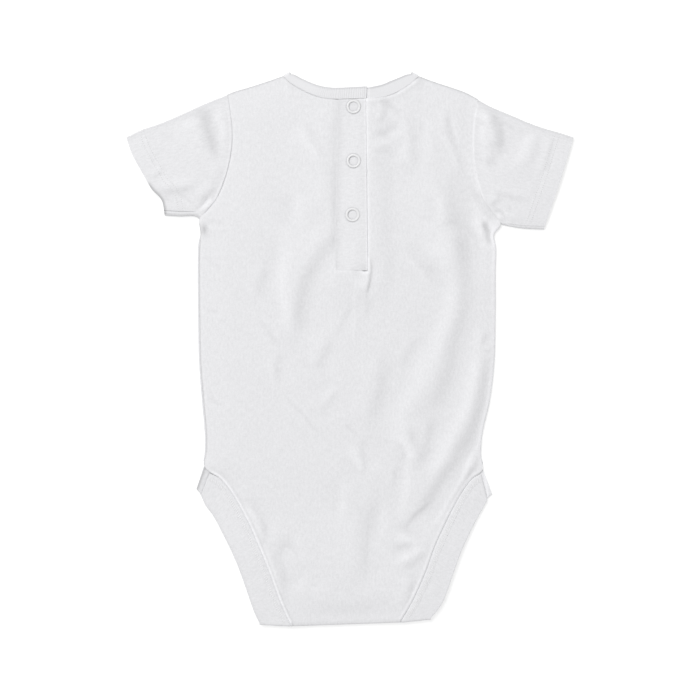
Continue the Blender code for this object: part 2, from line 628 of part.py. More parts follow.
def build_neck_rib():
    """Neck rib: a doubled band round the neck, its ends lapped at the placket, ribbed outside."""
    stations = rib_stations()

    def place(column, row):
        seam_x, seam_y, free_x, free_y, level = stations[column]
        return (free_x, free_y, level) if row else (seam_x, seam_y, level)

    obj = cloth("neck_rib", len(stations) - 1, 1, place, RIB_CLOTH, RIB, offset=-1.0)
    ribs = obj.vertex_groups.new(name="ribs")
    count = len(stations)
    ribs.add([index for index in range(2 * count) if (index % count) % 2 == 0], 1.0, "REPLACE")
    shell = obj.modifiers["wall"]
    shell.vertex_group = "ribs"
    shell.thickness_vertex_group = RIB_VALLEY


def build_placket():
    """Placket: the upper strip with its free edge, and the lower strip under it."""
    top = 175.3
    rows = 14

    def over(column, row):
        y = lerp(top, SLIT_END + SEAM_GAP, row / rows)
        x = lerp(slit_left(y) + SEAM_GAP, strip_edge(y), column / 3)
        shift = height_at(NECK_SEAM, x) - SEAM_GAP - top
        return x, y + shift * (1.0 - row / rows), OVER_STRIP_LEVEL

    def under(column, row):
        y = lerp(top, SLIT_END + SEAM_GAP, row / rows)
        x = lerp(UNDER_STRIP_LEFT, SLIT_RIGHT - SEAM_GAP, column / 2)
        shift = height_at(NECK_SEAM, x) - SEAM_GAP - top
        return x, y + shift * (1.0 - row / rows), UNDER_STRIP_LEVEL

    cloth("placket_over", 3, rows, over, STRIP_CLOTH, JERSEY)
    cloth("placket_under", 2, rows, under, STRIP_CLOTH, JERSEY)


def build_back_band(name, sections, flap_side):
    """Back leg band: along the leg cut, round the crotch fold and up beside the flap."""
    rows = smooth_rows(sections, ("seam_x", "seam_y", "outer_x", "outer_y"))
    table = []
    for seam_x, seam_y, outer_x, outer_y in rows:
        width = math.hypot(outer_x - seam_x, outer_y - seam_y)
        line = []
        for step in range(BAND_COLUMNS + 1):
            share = lerp(SEAM_GAP / width, 1.0, step / BAND_COLUMNS)
            x, y = lerp(seam_x, outer_x, share), lerp(seam_y, outer_y, share)
            line.append((x, y, edge_level(lerp(seam_y, y, 0.25))))
        table.append(line)
    table[-1] = [(x, y, CROTCH_BACK_LEVEL) for x, y, _ in table[-1]]
    inner = flap_side * (FLAP_HALF + 2.0 * SEAM_GAP)
    table.extend(turn_under(table[-1], inner, inner + flap_side * FLAP_BAND))
    cloth(name, BAND_COLUMNS, len(table) - 1, lambda column, row: table[row][column], BAND_CLOTH, JERSEY)


def build_front_band(name, sections):
    """Front leg band: flat beside the front panel's leg cut."""
    rows = smooth_rows(sections, ("seam_x", "seam_y", "outer_x", "outer_y"))

    def place(column, row):
        seam_x, seam_y, outer_x, outer_y = rows[row]
        width = math.hypot(outer_x - seam_x, outer_y - seam_y)
        share = lerp(CURVE_GAP / width, 1.0, column / 2)
        y = lerp(seam_y, outer_y, share)
        level = front_level(y) + (BAND_CLOTH - CLOTH) / 2.0
        return lerp(seam_x, outer_x, share), y, level

    cloth(name, 2, len(rows) - 1, place, BAND_CLOTH, JERSEY)


def build_ring(name, x, y, base, height):
    """Ring cap of a snap: a turned, rounded section."""
    middle = (SNAP_OUTER + SNAP_INNER) / 2.0
    half = (SNAP_OUTER - SNAP_INNER) / 2.0
    bulge = 0.72
    outline = ((half, 0.0), (half, height * 0.5), (half * bulge, height), (-half * bulge, height),
               (-half, height * 0.5), (-half, 0.0))
    form = bmesh.new()
    verts = [form.verts.new(((middle + across) * MM, 0.0, up * MM)) for across, up in outline]
    for first, second in zip(verts, verts[1:] + verts[:1]):
        form.edges.new((first, second))
    mesh = bpy.data.meshes.new(name)
    form.to_mesh(mesh)
    form.free()
    obj = add_object(name, mesh, ENAMEL)
    obj.location = Vector((x, y, base)) * MM
    turn = obj.modifiers.new("turn", "SCREW")
    turn.steps = SNAP_SIDES
    turn.render_steps = SNAP_SIDES
    turn.use_merge_vertices = True
    turn.merge_threshold = 0.00001
    turn.use_normal_calculate = True
    return obj


def build_stud(name, x, y, base):
    """Hidden half of a snap, between the two placket strips."""
    form = bmesh.new()
    bmesh.ops.create_cone(form, cap_ends=True, segments=12, radius1=STUD_RADIUS * MM,
                          radius2=STUD_RADIUS * MM, depth=STUD_HEIGHT * MM)
    mesh = bpy.data.meshes.new(name)
    form.to_mesh(mesh)
    form.free()
    obj = add_object(name, mesh, ENAMEL)
    obj.location = Vector((x, y, base + STUD_HEIGHT / 2.0)) * MM


def build_snaps():
    """Three placket snaps, fastened, and the three ring caps on the crotch's underside."""
    cap_base = OVER_STRIP_LEVEL + STRIP_CLOTH / 2.0 + SEAM_GAP
    stud_base = UNDER_STRIP_LEVEL + STRIP_CLOTH / 2.0 + SEAM_GAP
    for number, (x, y) in enumerate(SNAP_PLACES, start=1):
        build_ring(f"snap_ring_{number}", x, y, cap_base, SNAP_HEIGHT)
        build_stud(f"snap_stud_{number}", x, y, stud_base)
    for number in (1, 2, 3):
        build_ring(f"crotch_snap_{number}", (number - 2) * CROTCH_SNAP_PITCH, CROTCH_SNAP_Y, 0.0,
                   CROTCH_SNAP_HEIGHT)


def main():
    """Clear the scene and build every piece of the bodysuit."""
    for obj in list(bpy.data.objects):
        bpy.data.objects.remove(obj, do_unlink=True)
    bpy.context.scene.collection.children.link(bpy.data.collections.new("baby_bodysuit"))
    build_back_panel()
    build_front_panel()
    armhole_left = tuple((item.left_x, item.left_y) for item in ARMHOLE_SECTIONS)
    armhole_right = tuple((item.right_x, item.right_y) for item in ARMHOLE_SECTIONS)
    build_sleeve("sleeve_left", SLEEVE_LEFT, armhole_left, -1.0, LEFT_SLEEVE_CREASES)
    build_sleeve("sleeve_right", SLEEVE_RIGHT, armhole_right, 1.0, RIGHT_SLEEVE_CREASES)
    build_neck_rib()
    build_placket()
    build_back_band("band_back_left", BACK_BAND_LEFT, -1.0)
    build_back_band("band_back_right", BACK_BAND_RIGHT, 1.0)
    build_front_band("band_front_left", FRONT_BAND_LEFT)
    build_front_band("band_front_right", FRONT_BAND_RIGHT)
    build_snaps()


main()
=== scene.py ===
"""Short-sleeved baby bodysuit in white cotton jersey, laid flat with its back side up.

The frame is metres, +Z up, +Y towards the neck, origin on the surface at the middle of the
outline. Lengths in the tables and classes below are millimetres, and MM turns them to metres.
Each cut piece of cloth is a fine grid that follows the form of its solid, with its folds, seams
and stitch grooves in the grid, and a wall from Solidify.
"""

import logging
import math
from dataclasses import dataclass, field
from enum import Enum

import bpy
import numpy as np
from bpy.types import Material, Node, NodeTree, Object
from bpy.types import NodeSocket as Socket
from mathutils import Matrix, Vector
from mathutils.bvhtree import BVHTree


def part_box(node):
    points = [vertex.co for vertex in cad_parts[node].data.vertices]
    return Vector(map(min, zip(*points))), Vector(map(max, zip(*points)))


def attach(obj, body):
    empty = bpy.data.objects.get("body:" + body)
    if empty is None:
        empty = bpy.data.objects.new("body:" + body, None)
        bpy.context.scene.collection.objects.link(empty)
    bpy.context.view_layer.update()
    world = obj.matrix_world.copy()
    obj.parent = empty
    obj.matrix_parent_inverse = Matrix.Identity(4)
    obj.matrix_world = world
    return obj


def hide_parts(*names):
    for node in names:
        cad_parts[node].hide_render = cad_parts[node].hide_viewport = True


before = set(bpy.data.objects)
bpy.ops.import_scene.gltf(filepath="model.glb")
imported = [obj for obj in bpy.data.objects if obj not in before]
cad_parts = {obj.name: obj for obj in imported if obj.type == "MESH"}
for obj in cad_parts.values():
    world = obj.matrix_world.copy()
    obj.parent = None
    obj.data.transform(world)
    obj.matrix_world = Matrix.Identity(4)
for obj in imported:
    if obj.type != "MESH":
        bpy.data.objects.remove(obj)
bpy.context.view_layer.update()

log = logging.getLogger("bodysuit")

MM = 0.001
NO_LENGTH = 1e-12           # square of a length, in millimetres, that counts as none
UP = np.array([0.0, 0.0, 1.0])
WHITE = (1.0, 1.0, 1.0, 1.0)
Point = tuple[float, float]
Colour = tuple[float, float, float]
Path = tuple[Point, ...]
Grid = np.ndarray


# ---- Driving sizes, in millimetres ----

JERSEY_WALL = 0.8           # single jersey
FOLDED_WALL = 0.55          # one layer of a doubled band or strip
SEAM_GAP = 0.12             # between two pieces at a seam
HAIR_GAP = 0.02             # where the seam doesn't show
ROW_STEP = 1.6              # spacing of the cloth grids
FINE_STEPS = (0.12, 0.28, 0.5, 0.75)    # shares of a full step beside an edge

FRONT_LEVEL = 0.45          # middle of each wall above the surface
SIDE_LEVEL = 1.5
LEG_LEVEL = 2.3
SHOULDER_LEVEL = 1.8
ARMHOLE_LEVEL = 2.3
BACK_LEVEL = 3.6
UNDER_STRIP_LEVEL = 2.6
OVER_STRIP_LEVEL = 5.3
RIGHT_SLIT_LEVEL = 3.3
CROTCH_FRONT_LEVEL = 1.35
CROTCH_FLAP_LEVEL = 2.95
CROTCH_BACK_LEVEL = 4.45
CROTCH_RADIUS = (CROTCH_BACK_LEVEL - CROTCH_FLAP_LEVEL) / 2.0
CROTCH_ANGLES = tuple(math.pi * step / 8.0 for step in range(1, 8))     # rows round the crotch fold
EDGE_ROLL = 22.0            # width over which the back rises from an edge
EDGE_LIFT = 0.9             # step of the cloth right at a side edge
EDGE_RADIUS = 1.2           # tight turn of that step
SIDE_PEEK = 1.5             # how far the front shows past the back along the left side

SLIT_LEFT = (-8.1, -9.8)    # left edge of the placket's slit, at the neck and at its lower end
SLIT_RIGHT = 9.3
SLIT_END = 55.5
SLIT_TOP = 175.0
STRIP_EDGE = (11.2, 12.6)   # free edge of the upper strip, at the neck and at its lower end
UNDER_STRIP_LEFT = -5.5
STRIP_DROP = (0.6, 1.2)     # least and most that the cloth falls to the upper strip's left seam
DEEPEST_DROP = 97.0         # height on the garment where it falls most
NECK_MIDDLE = 0.7
NECK_HALF = 44.0            # half width between the shoulders' inner ends
PLEAT_LENGTH = 34.0         # pleat that runs down from the slit's lower end
PLEAT_FOOT = 8.0

FLAP_END = -150.0           # where the turned-under end of the back stops
FLAP_HALF = 37.0
FLAP_BAND = 21.0


class Side(Enum):
    """The two sides of the garment, by the sign of X."""

    LEFT = -1
    RIGHT = 1


class Slot(Enum):
    """Material slots of the record."""

    JERSEY = "jersey"
    RIB = "rib"
    SNAP = "snap"


@dataclass(frozen=True)
class Section:
    """Row of a panel, from its left edge to its right edge; crown is its share of the top line."""

    left: Point
    right: Point
    crown: float = 0.0

    def end(self, side: Side) -> Point:
        """Edge point of one side."""
        return self.left if side is Side.LEFT else self.right


ARMHOLE_SECTIONS = (
    Section((-85.8, 178.3), (89.6, 174.9), 1.00),
    Section((-84.0, 169.0), (87.8, 166.0), 0.93),
    Section((-82.4, 155.3), (86.5, 154.0), 0.80),
    Section((-82.4, 143.4), (86.1, 140.0), 0.66),
    Section((-84.5, 129.9), (87.3, 127.0), 0.50),
    Section((-87.9, 118.0), (90.0, 116.0), 0.36),
    Section((-93.1, 106.0), (93.5, 105.0), 0.22),
    Section((-99.8, 97.6), (98.7, 97.0), 0.10),
    Section((-105.2, 91.6), (105.3, 88.2), 0.03),
)
SIDE_SECTIONS = (
    Section((-104.3, 82.0), (100.6, 80.6)),
    Section((-105.0, 70.4), (102.0, 70.4)),
    Section((-105.2, 55.5), (101.5, 55.5)),
    Section((-105.0, 30.0), (101.5, 30.0)),
    Section((-104.3, -6.7), (100.8, -6.7)),
    Section((-102.2, -34.7), (97.6, -34.7)),
    Section((-100.3, -57.0), (92.6, -57.0)),
    Section((-100.3, -71.0), (91.3, -72.0)),
    Section((-101.9, -80.2), (92.6, -82.4)),
)
BACK_LEG_SECTIONS = (
    Section((-97.8, -85.2), (90.6, -86.2)),
    Section((-90.3, -90.3), (84.7, -90.9)),
    Section((-81.3, -101.9), (76.3, -102.9)),
    Section((-71.0, -120.8), (68.0, -118.7)),
    Section((-63.6, -137.6), (59.7, -136.5)),
    Section((-56.3, -155.4), (53.2, -154.4)),
    Section((-48.9, -175.4), (44.5, -174.0)),
    Section((-41.6, -191.9), (35.9, -189.2)),
)
FRONT_LEG_SECTIONS = (
    Section((-90.0, -92.5), (81.5, -94.5)),
    Section((-76.0, -108.0), (69.0, -109.0)),
    Section((-62.0, -128.0), (56.5, -128.0)),
    Section((-51.0, -151.0), (46.5, -151.0)),
    Section((-44.5, -176.0), (39.0, -176.0)),
)
SLIT_SECTION = len(ARMHOLE_SECTIONS) + 2

SHOULDER_LEFT = ((-85.8, 178.3), (-78.4, 181.0), (-70.0, 183.4), (-61.6, 186.1), (-53.2, 188.9),
                 (-46.4, 191.3))
NECK_SEAM = ((-46.4, 191.3), (-41.3, 186.3), (-30.1, 180.0), (-18.9, 176.0), (-7.7, 175.2),
             (1.4, 175.4), (9.8, 175.7), (21.7, 176.5), (33.6, 180.7), (42.7, 186.7), (47.8, 191.3))
SHOULDER_RIGHT = ((47.8, 191.3), (56.0, 188.1), (64.4, 185.3), (72.8, 182.5), (81.2, 179.4),
                  (89.6, 174.9))
FRONT_NECK_SEAM = ((-46.4, 191.3), (-39.2, 163.5), (-31.4, 151.5), (-23.6, 144.3), (-15.9, 139.8),
                   (-8.1, 137.3), (-2.3, 136.7), (3.5, 136.7), (9.3, 137.3), (17.3, 139.8),
                   (25.4, 144.5), (32.6, 151.5), (39.8, 163.5), (47.8, 191.3))
NECK_CORNERS = (0.507, 0.479)   # shares of the half rows where the neck's corners lie


# ---- Shape helpers ----

def lerp(start: Grid | float, end: Grid | float, share: Grid | float) -> Grid | float:
    """Value at a share of the way from start to end."""
    return start + (end - start) * share


def ease(value: Grid | float) -> Grid:
    """Smooth step from 0 to 1, held outside that range."""
    held = np.clip(value, 0.0, 1.0)
    return held * held * (3.0 - 2.0 * held)


def above(value: Grid | float, start: Grid | float, blur: float) -> Grid:
    """Smooth step that begins at the start and is 1 from a blur past it."""
    return ease((value - start) / blur)


def below(value: Grid | float, start: float, blur: float) -> Grid:
    """Smooth step that begins at the start and is 1 from a blur under it."""
    return ease((start - value) / blur)


def bell(distance: Grid, width: float) -> Grid:
    """Soft bump: 1 at no distance, falling off over the width."""
    return np.exp(-(distance / width) ** 2)


def along(points: Grid) -> Grid:
    """Distance run at every point of a line, from its first point."""
    return np.concatenate(([0.0], np.cumsum(np.linalg.norm(np.diff(points, axis=0), axis=1))))


def unit(vectors: Grid) -> Grid:
    """Plan directions of the given vectors, each one long."""
    return vectors / np.linalg.norm(vectors, axis=1)[:, None]


def shares(count: int, fine_start: bool = False, fine_end: bool = False) -> Grid:
    """Shares from 0 to 1, closer together at the ends that are asked for.

    Args:
        count: Number of steps.
        fine_start: Whether the first steps are fine ones.
        fine_end: Whether the last steps are fine ones.

    Returns:
        The shares, one more than the steps.
    """
    steps = np.ones(count)
    fine = len(FINE_STEPS)
    if fine_start:
        steps[:fine] = FINE_STEPS
    if fine_end:
        steps[-fine:] = FINE_STEPS[::-1]
    return np.concatenate(([0.0], np.cumsum(steps))) / steps.sum()


def spline_rows(table: Grid, stations: Grid) -> Grid:
    """Catmull-Rom rows of a table, at stations counted in its own rows.

    Args:
        table: One row of values for each section.
        stations: Places along the sections, 2.5 being half way from the third to the fourth.

    Returns:
        One row of values for each station.
    """
    last = len(table) - 1
    index = np.clip(stations.astype(int), 0, last - 1)
    share = (stations - index)[:, None]
    before = table[np.maximum(index - 1, 0)]
    start = table[index]
    end = table[index + 1]
    after = table[np.minimum(index + 2, last)]
    square = share * share
    cube = square * share
    leaving = (cube - 2.0 * square + share) * (end - before) * 0.5
    arriving = (cube - square) * (after - start) * 0.5
    return ((2.0 * cube - 3.0 * square + 1.0) * start + leaving
            + (3.0 * square - 2.0 * cube) * end + arriving)


class Line:
    """Smooth plan line through a few points, measured along its length."""

    def __init__(self, path: Path | Grid, steps: int = 10, smooth: bool = True) -> None:
        """Densify the path.

        Args:
            path: Points that the line goes through, two or three numbers each.
            steps: Pieces between two of its points.
            smooth: False keeps straight pieces.
        """
        table = np.asarray(path, float)
        if smooth and len(table) > 2:
            stations = np.linspace(0.0, len(table) - 1.0, (len(table) - 1) * steps + 1)
            table = spline_rows(table, stations)
        self.points = table
        self.marks = along(table)
        self.length = float(self.marks[-1])

    def at(self, share: Grid | float) -> Grid:
        """Points on the line.

        Args:
            share: Shares of its length.

        Returns:
            One point for each share.
        """
        place = np.asarray(share, float) * self.length
        return np.stack([np.interp(place, self.marks, self.points[:, axis])
                         for axis in range(self.points.shape[1])], axis=-1)

    def height(self, x: Grid | float) -> Grid | float:
        """Y of a line that runs towards +X, at places across."""
        return np.interp(x, self.points[:, 0], self.points[:, 1])

    def measure(self, x: Grid, y: Grid) -> tuple[Grid, Grid]:
        """Signed distance to the line, positive on its left, and the share along it.

        Args:
            x: Places across, in millimetres.
            y: Places towards the neck.

        Returns:
            The distance and the share for each place.
        """
        best = np.full(x.shape, np.inf)
        side = np.zeros(x.shape)
        place = np.zeros(x.shape)
        for index in range(len(self.points) - 1):
            ax, ay = self.points[index][:2]
            bx, by = self.points[index + 1][:2]
            dx, dy = bx - ax, by - ay
            span = dx * dx + dy * dy
            if span < NO_LENGTH:
                continue
            share = np.clip(((x - ax) * dx + (y - ay) * dy) / span, 0.0, 1.0)
            off_x, off_y = x - ax - share * dx, y - ay - share * dy
            gap = off_x * off_x + off_y * off_y
            nearer = gap < best
            best = np.where(nearer, gap, best)
            side = np.where(nearer, dx * off_y - dy * off_x, side)
            place = np.where(nearer, self.marks[index] + share * math.sqrt(span), place)
        return np.sqrt(best) * np.where(side < 0.0, -1.0, 1.0), place / self.length

    def gap(self, x: Grid, y: Grid) -> Grid:
        """Distance of plan places to the line."""
        return np.abs(self.measure(x, y)[0])


@dataclass(frozen=True)
class Fold:
    """Soft ridge, or trough where the rise is below zero, along a given path."""

    rise: float
    width: float
    path: Path
    taper: float = 0.35

    def profile(self, gap: Grid) -> Grid:
        """Height across the path, at signed distances from it."""
        return bell(gap, self.width)

    def reach(self) -> float:
        """Distance at which the fold has died away."""
        return 2.6 * self.width

    def height(self, x: Grid, y: Grid) -> Grid:
        """Rise of the fold.

        Args:
            x: Places across, in millimetres.
            y: Places towards the neck.

        Returns:
            The rise at each place.
        """
        result = np.zeros(x.shape)
        points = np.asarray(self.path, float)
        low = points.min(axis=0) - self.reach()
        high = points.max(axis=0) + self.reach()
        near = (x > low[0]) & (x < high[0]) & (y > low[1]) & (y < high[1])
        if near.any():
            gap, place = Line(self.path, steps=8).measure(x[near], y[near])
            ends = ease(place / self.taper) * ease((1.0 - place) / self.taper)
            result[near] = self.rise * ends * self.profile(gap)
        return result


@dataclass(frozen=True)
class Roll(Fold):
    """Soft roll of the cloth across a path: its rise is the slope there, up to the path's left."""

    def profile(self, gap: Grid) -> Grid:
        """Height across the path, at signed distances from it."""
        return self.width * np.tanh(gap / self.width) * bell(gap, 2.2 * self.width + 3.0)

    def reach(self) -> float:
        """Distance at which the step has died away."""
        return 4.9 * self.width + 6.6


def fold_height(folds: tuple[Fold, ...], x: Grid, y: Grid) -> Grid:
    """Sum of the rises of several folds.

    Args:
        folds: The folds.
        x: Plan places, in millimetres.
        y: Plan places, in millimetres.

    Returns:
        The rise at each place.
    """
    total = np.zeros(x.shape)
    for item in folds:
        total += item.height(x, y)
    return total


@dataclass(frozen=True)
class Welt:
    """Soft bump beside a seam or rim: its rise, or its painted shade (painted light where below zero); its
    distance from the edge; its width.
    """

    rise: float
    place: float
    width: float


def welts(gap: Grid, *items: Welt) -> Grid:
    """Sum of welts, at distances from their edge."""
    return sum(item.rise * bell(gap - item.place, item.width) for item in items)


def ripple(x: Grid, y: Grid, seed: int, size: float, waves: int = 14) -> Grid:
    """Gentle uneven swell of resting cloth, from seeded crossing waves.

    Args:
        x: Plan places, in millimetres.
        y: Plan places, in millimetres.
        seed: Seed of the waves.
        size: Usual wave length, in millimetres.
        waves: Number of waves.

    Returns:
        The swell at each place, about -1 to 1.
    """
    draw = np.random.default_rng(seed)
    total = np.zeros(x.shape)
    for _ in range(waves):
        angle = draw.uniform(0.0, math.tau)
        length = size * draw.uniform(0.6, 1.7)
        phase = draw.uniform(0.0, math.tau)
        total += np.sin((x * math.cos(angle) + y * math.sin(angle)) * math.tau / length + phase)
    return total / math.sqrt(waves) / 1.6


def crevice(height: Grid, spread: int) -> Grid:
    """How far each spot of a height grid lies below its surroundings.

    Args:
        height: Heights over the grid, in millimetres.
        spread: Reach of the surroundings, in blurring passes.

    Returns:
        The depth of each spot, in millimetres, below zero where it stands proud.
    """
    blurred = height.copy()
    for _ in range(spread):
        padded = np.pad(blurred, 1, mode="edge")
        beside = padded[:-2, 1:-1] + padded[2:, 1:-1] + padded[1:-1, :-2] + padded[1:-1, 2:]
        blurred = (beside + 4.0 * blurred) / 8.0
    return blurred - height


def select_only(obj: Object) -> None:
    """Select one object alone and make it active.

    Args:
        obj: The object.
    """
    bpy.ops.object.select_all(action="DESELECT")
    obj.select_set(True)
    bpy.context.view_layer.objects.active = obj


def apply_modifiers(obj: Object) -> None:
    """Apply every modifier of an object, in order.

    Args:
        obj: The object.
    """
    select_only(obj)
    for modifier in list(obj.modifiers):
        bpy.ops.object.modifier_apply(modifier=modifier.name)


# ---- Finishes ----

def opaque(colour: Colour, share: float = 1.0) -> tuple[float, float, float, float]:
    """Colour as a shader takes it, darkened to a share."""
    return (*(part * share for part in colour), 1.0)


class Nodes:
    """Short way to place and join nodes in one node tree."""

    def __init__(self, tree: NodeTree) -> None:
        """Keep the tree."""
        self.tree = tree

    def feed(self, node: Node, **inputs: object) -> None:
        """Give a node values or sockets for its inputs.

        Args:
            node: The node.
            inputs: Values or sockets, by the input's name; _0 names the first input.
        """
        for name, value in inputs.items():
            socket = node.inputs[int(name[1:]) if name[0] == "_" else name.replace("_", " ")]
            if isinstance(value, Socket):
                self.tree.links.new(value, socket)
            else:
                socket.default_value = value

    def add(self, kind: str, settings: dict[str, object] | None = None, **inputs: object) -> Node:
        """New node.

        Args:
            kind: Node type name.
            settings: Properties of the node itself.
            inputs: Values or sockets for its inputs, as feed takes them.

        Returns:
            The node.
        """
        node = self.tree.nodes.new(kind)
        for name, value in (settings or {}).items():
            setattr(node, name, value)
        self.feed(node, **inputs)
        return node

    def math(self, operation: str, *values: object) -> Socket:
        """Output of a Math node with the given values or sockets."""
        inputs = {f"_{index}": value for index, value in enumerate(values)}
        return self.add("ShaderNodeMath", {"operation": operation}, **inputs).outputs[0]

    def noise(self, place: Socket, scale: object, detail: float,
              roughness: float = 0.5) -> Socket:
        """Output of a noise texture at a place."""
        return self.add("ShaderNodeTexNoise", Vector=place, Scale=scale, Detail=detail,
                        Roughness=roughness).outputs[0]

    def mix(self, share: Socket, start: object, end: object) -> Socket:
        """Colour at a share of the way between two colours or colour sockets."""
        return self.add("ShaderNodeMix", {"data_type": "RGBA"}, Factor=share, _6=start, _7=end).outputs[2]

    def bump(self, height: Socket, strength: float, distance: float) -> Socket:
        """Normal of a relief; its distance is in millimetres."""
        return self.add("ShaderNodeBump", Strength=strength, Distance=distance * MM,
                        Height=height).outputs[0]

    def object_place(self) -> Socket:
        """Object coordinates."""
        return self.add("ShaderNodeTexCoord").outputs["Object"]

    def attribute(self, name: str) -> Socket:
        """Number that each point of the mesh carries."""
        return self.add("ShaderNodeAttribute", {"attribute_name": name}).outputs["Fac"]


def new_group(name: str, outputs: dict[str, str], **inputs: str) -> tuple[Nodes, Node]:
    """Shader node group with named sockets.

    Args:
        name: Name of the group.
        outputs: Kind of each output socket.
        inputs: Kind of each input socket.

    Returns:
        The helper for its nodes, and its input node.
    """
    tree = bpy.data.node_groups.new(name, "ShaderNodeTree")
    for in_out, sockets in (("INPUT", inputs), ("OUTPUT", outputs)):
        for label, kind in sockets.items():
            tree.interface.new_socket(label, in_out=in_out, socket_type=f"NodeSocket{kind}")
    nodes = Nodes(tree)
    return nodes, nodes.add("NodeGroupInput")


def knit_loops_group() -> NodeTree:
    """Group for knitted loops: two slanted legs in each wale, one loop in each course.

    Returns:
        The group, which puts out a height.
    """
    nodes, given = new_group("knit_loops", {"Height": "Float"}, Cloth="Vector", Wale="Float", Course="Float")
    place = nodes.add("ShaderNodeSeparateXYZ", _0=given.outputs["Cloth"])
    across = nodes.math("DIVIDE", place.outputs["X"], given.outputs["Wale"])
    down = nodes.math("DIVIDE", place.outputs["Y"], given.outputs["Course"])
    leg = nodes.math("PINGPONG", across, 0.5)
    slanted = nodes.math("MULTIPLY_ADD", leg, 1.6, down)
    loop = nodes.math("SINE", nodes.math("MULTIPLY", slanted, math.tau))
    column = nodes.math("ABSOLUTE", nodes.math("SINE", nodes.math("MULTIPLY", across, math.tau)))
    height = nodes.math("MULTIPLY_ADD", loop, 0.3, nodes.math("MULTIPLY_ADD", column, 0.4, 0.3))
    nodes.add("NodeGroupOutput", _0=height)
    return nodes.tree


def slub_group() -> NodeTree:
    """Group for the uneven yarn of jersey: short streaks along the wales and a finer mottle.

    Returns:
        The group, which puts out a value about 0.5.
    """
    nodes, given = new_group("slub_yarn", {"Value": "Float"}, Cloth="Vector", Streak="Float", Fine="Float")
    cloth = given.outputs["Cloth"]
    streaked = nodes.add("ShaderNodeMapping", _0=cloth, Scale=(1.0, 0.5, 1.0)).outputs[0]
    streak = nodes.noise(streaked, given.outputs["Streak"], 2.0, 0.55)
    fine = nodes.noise(cloth, given.outputs["Fine"], 3.0, 0.6)
    value = nodes.math("ADD", nodes.math("MULTIPLY", streak, 0.5), nodes.math("MULTIPLY", fine, 0.5))
    nodes.add("NodeGroupOutput", _0=value)
    return nodes.tree


def cloth_painted_shade_group() -> NodeTree:
    """Group that mottles a cloth colour by its yarn value and darkens it by the painted shade that each
    point carries, painted light where that is below zero.

    Returns:
        The group, which puts out a colour.
    """
    nodes, given = new_group("cloth_painted_shade", {"Colour": "Color"}, Colour="Color", Yarn="Float",
                             Mottle="Float", Hollow="Float")
    uneven = nodes.math("MULTIPLY_ADD", nodes.math("SUBTRACT", given.outputs["Yarn"], 0.5),
                        given.outputs["Mottle"], 1.0)
    # painted shade of each point, from crevices, rims and seams, scaled by the finish
    depth = nodes.math("MULTIPLY", nodes.attribute("hollow"), given.outputs["Hollow"])
    shade = nodes.math("SUBTRACT", uneven, depth)
    colour = nodes.add("ShaderNodeVectorMath", {"operation": "SCALE"}, _0=given.outputs["Colour"],
                       Scale=shade)
    nodes.add("NodeGroupOutput", _0=colour.outputs[0])
    return nodes.tree


@dataclass(frozen=True)
class Groups:
    """The shared node groups, each made once."""

    knit: NodeTree = field(default_factory=knit_loops_group)
    slub: NodeTree = field(default_factory=slub_group)
    shade: NodeTree = field(default_factory=cloth_painted_shade_group)


def new_material(name: str) -> tuple[Material, Nodes, Node]:
    """Material with a Principled shader.

    Args:
        name: Name of the material.

    Returns:
        The material, the helper for its nodes, and its shader.
    """
    material = bpy.data.materials.new(name)
    material.use_nodes = True
    return material, Nodes(material.node_tree), material.node_tree.nodes["Principled BSDF"]


@dataclass(frozen=True)
class KnitFinish:
    """Cotton knit: loops and uneven yarn in its relief and colour; wale and course in millimetres."""

    name: str
    colour: Colour
    wale: float = 0.68
    course: float = 0.56
    streak: float = 640.0
    fine: float = 1100.0
    mottle: float = 0.37
    # strength of the painted shade that each point carries in crevices and at rims and seams
    hollow: float = 0.10
    loop_relief: float = 0.05
    yarn_relief: float = 0.2
    roughness: float = 0.88
    sheen: float = 0.12

    def material(self, groups: Groups) -> Material:
        """Build the material.

        Args:
            groups: The shared node groups.

        Returns:
            The material.
        """
        material, nodes, shader = new_material(self.name)
        cloth = nodes.add("ShaderNodeUVMap", {"uv_map": "cloth"}).outputs[0]
        knit = nodes.add("ShaderNodeGroup", {"node_tree": groups.knit}, Cloth=cloth,
                         Wale=self.wale * MM, Course=self.course * MM).outputs[0]
        slub = nodes.add("ShaderNodeGroup", {"node_tree": groups.slub}, Cloth=cloth,
                         Streak=self.streak, Fine=self.fine).outputs[0]
        shade = nodes.add("ShaderNodeGroup", {"node_tree": groups.shade}, Colour=opaque(self.colour),
                          Yarn=slub, Mottle=self.mottle, Hollow=self.hollow).outputs[0]
        loops = nodes.math("MULTIPLY", knit, self.loop_relief)
        height = nodes.math("MULTIPLY_ADD", slub, self.yarn_relief, loops)
        rough = nodes.math("MULTIPLY_ADD", nodes.math("SUBTRACT", slub, 0.5), 0.2, self.roughness)
        nodes.feed(shader, Base_Color=shade, Normal=nodes.bump(height, 0.8, 1.0), Roughness=rough,
                   Sheen_Weight=self.sheen, Sheen_Roughness=0.6, Specular_IOR_Level=0.25)
        return material


@dataclass(frozen=True)
class ThreadFinish:
    """Sewing thread: fine twist and a slight gloss; its last field is how dark the discs of painted shade at
    its needle holes are.
    """

    name: str
    colour: Colour
    twist: float = 2600.0
    roughness: float = 0.6
    hole_shade: float = 0.6

    def material(self) -> Material:
        """Build the material.

        Returns:
            The material.
        """
        material, nodes, shader = new_material(self.name)
        twist = nodes.noise(nodes.object_place(), self.twist, 2.0)
        thread = nodes.mix(twist, opaque(self.colour, 0.9), opaque(self.colour))
        # painted shade on the needle-hole discs
        colour = nodes.mix(nodes.attribute("hole_shade"), thread, opaque(self.colour, self.hole_shade))
        nodes.feed(shader, Base_Color=colour, Normal=nodes.bump(twist, 0.4, 0.1), Roughness=self.roughness)
        return material


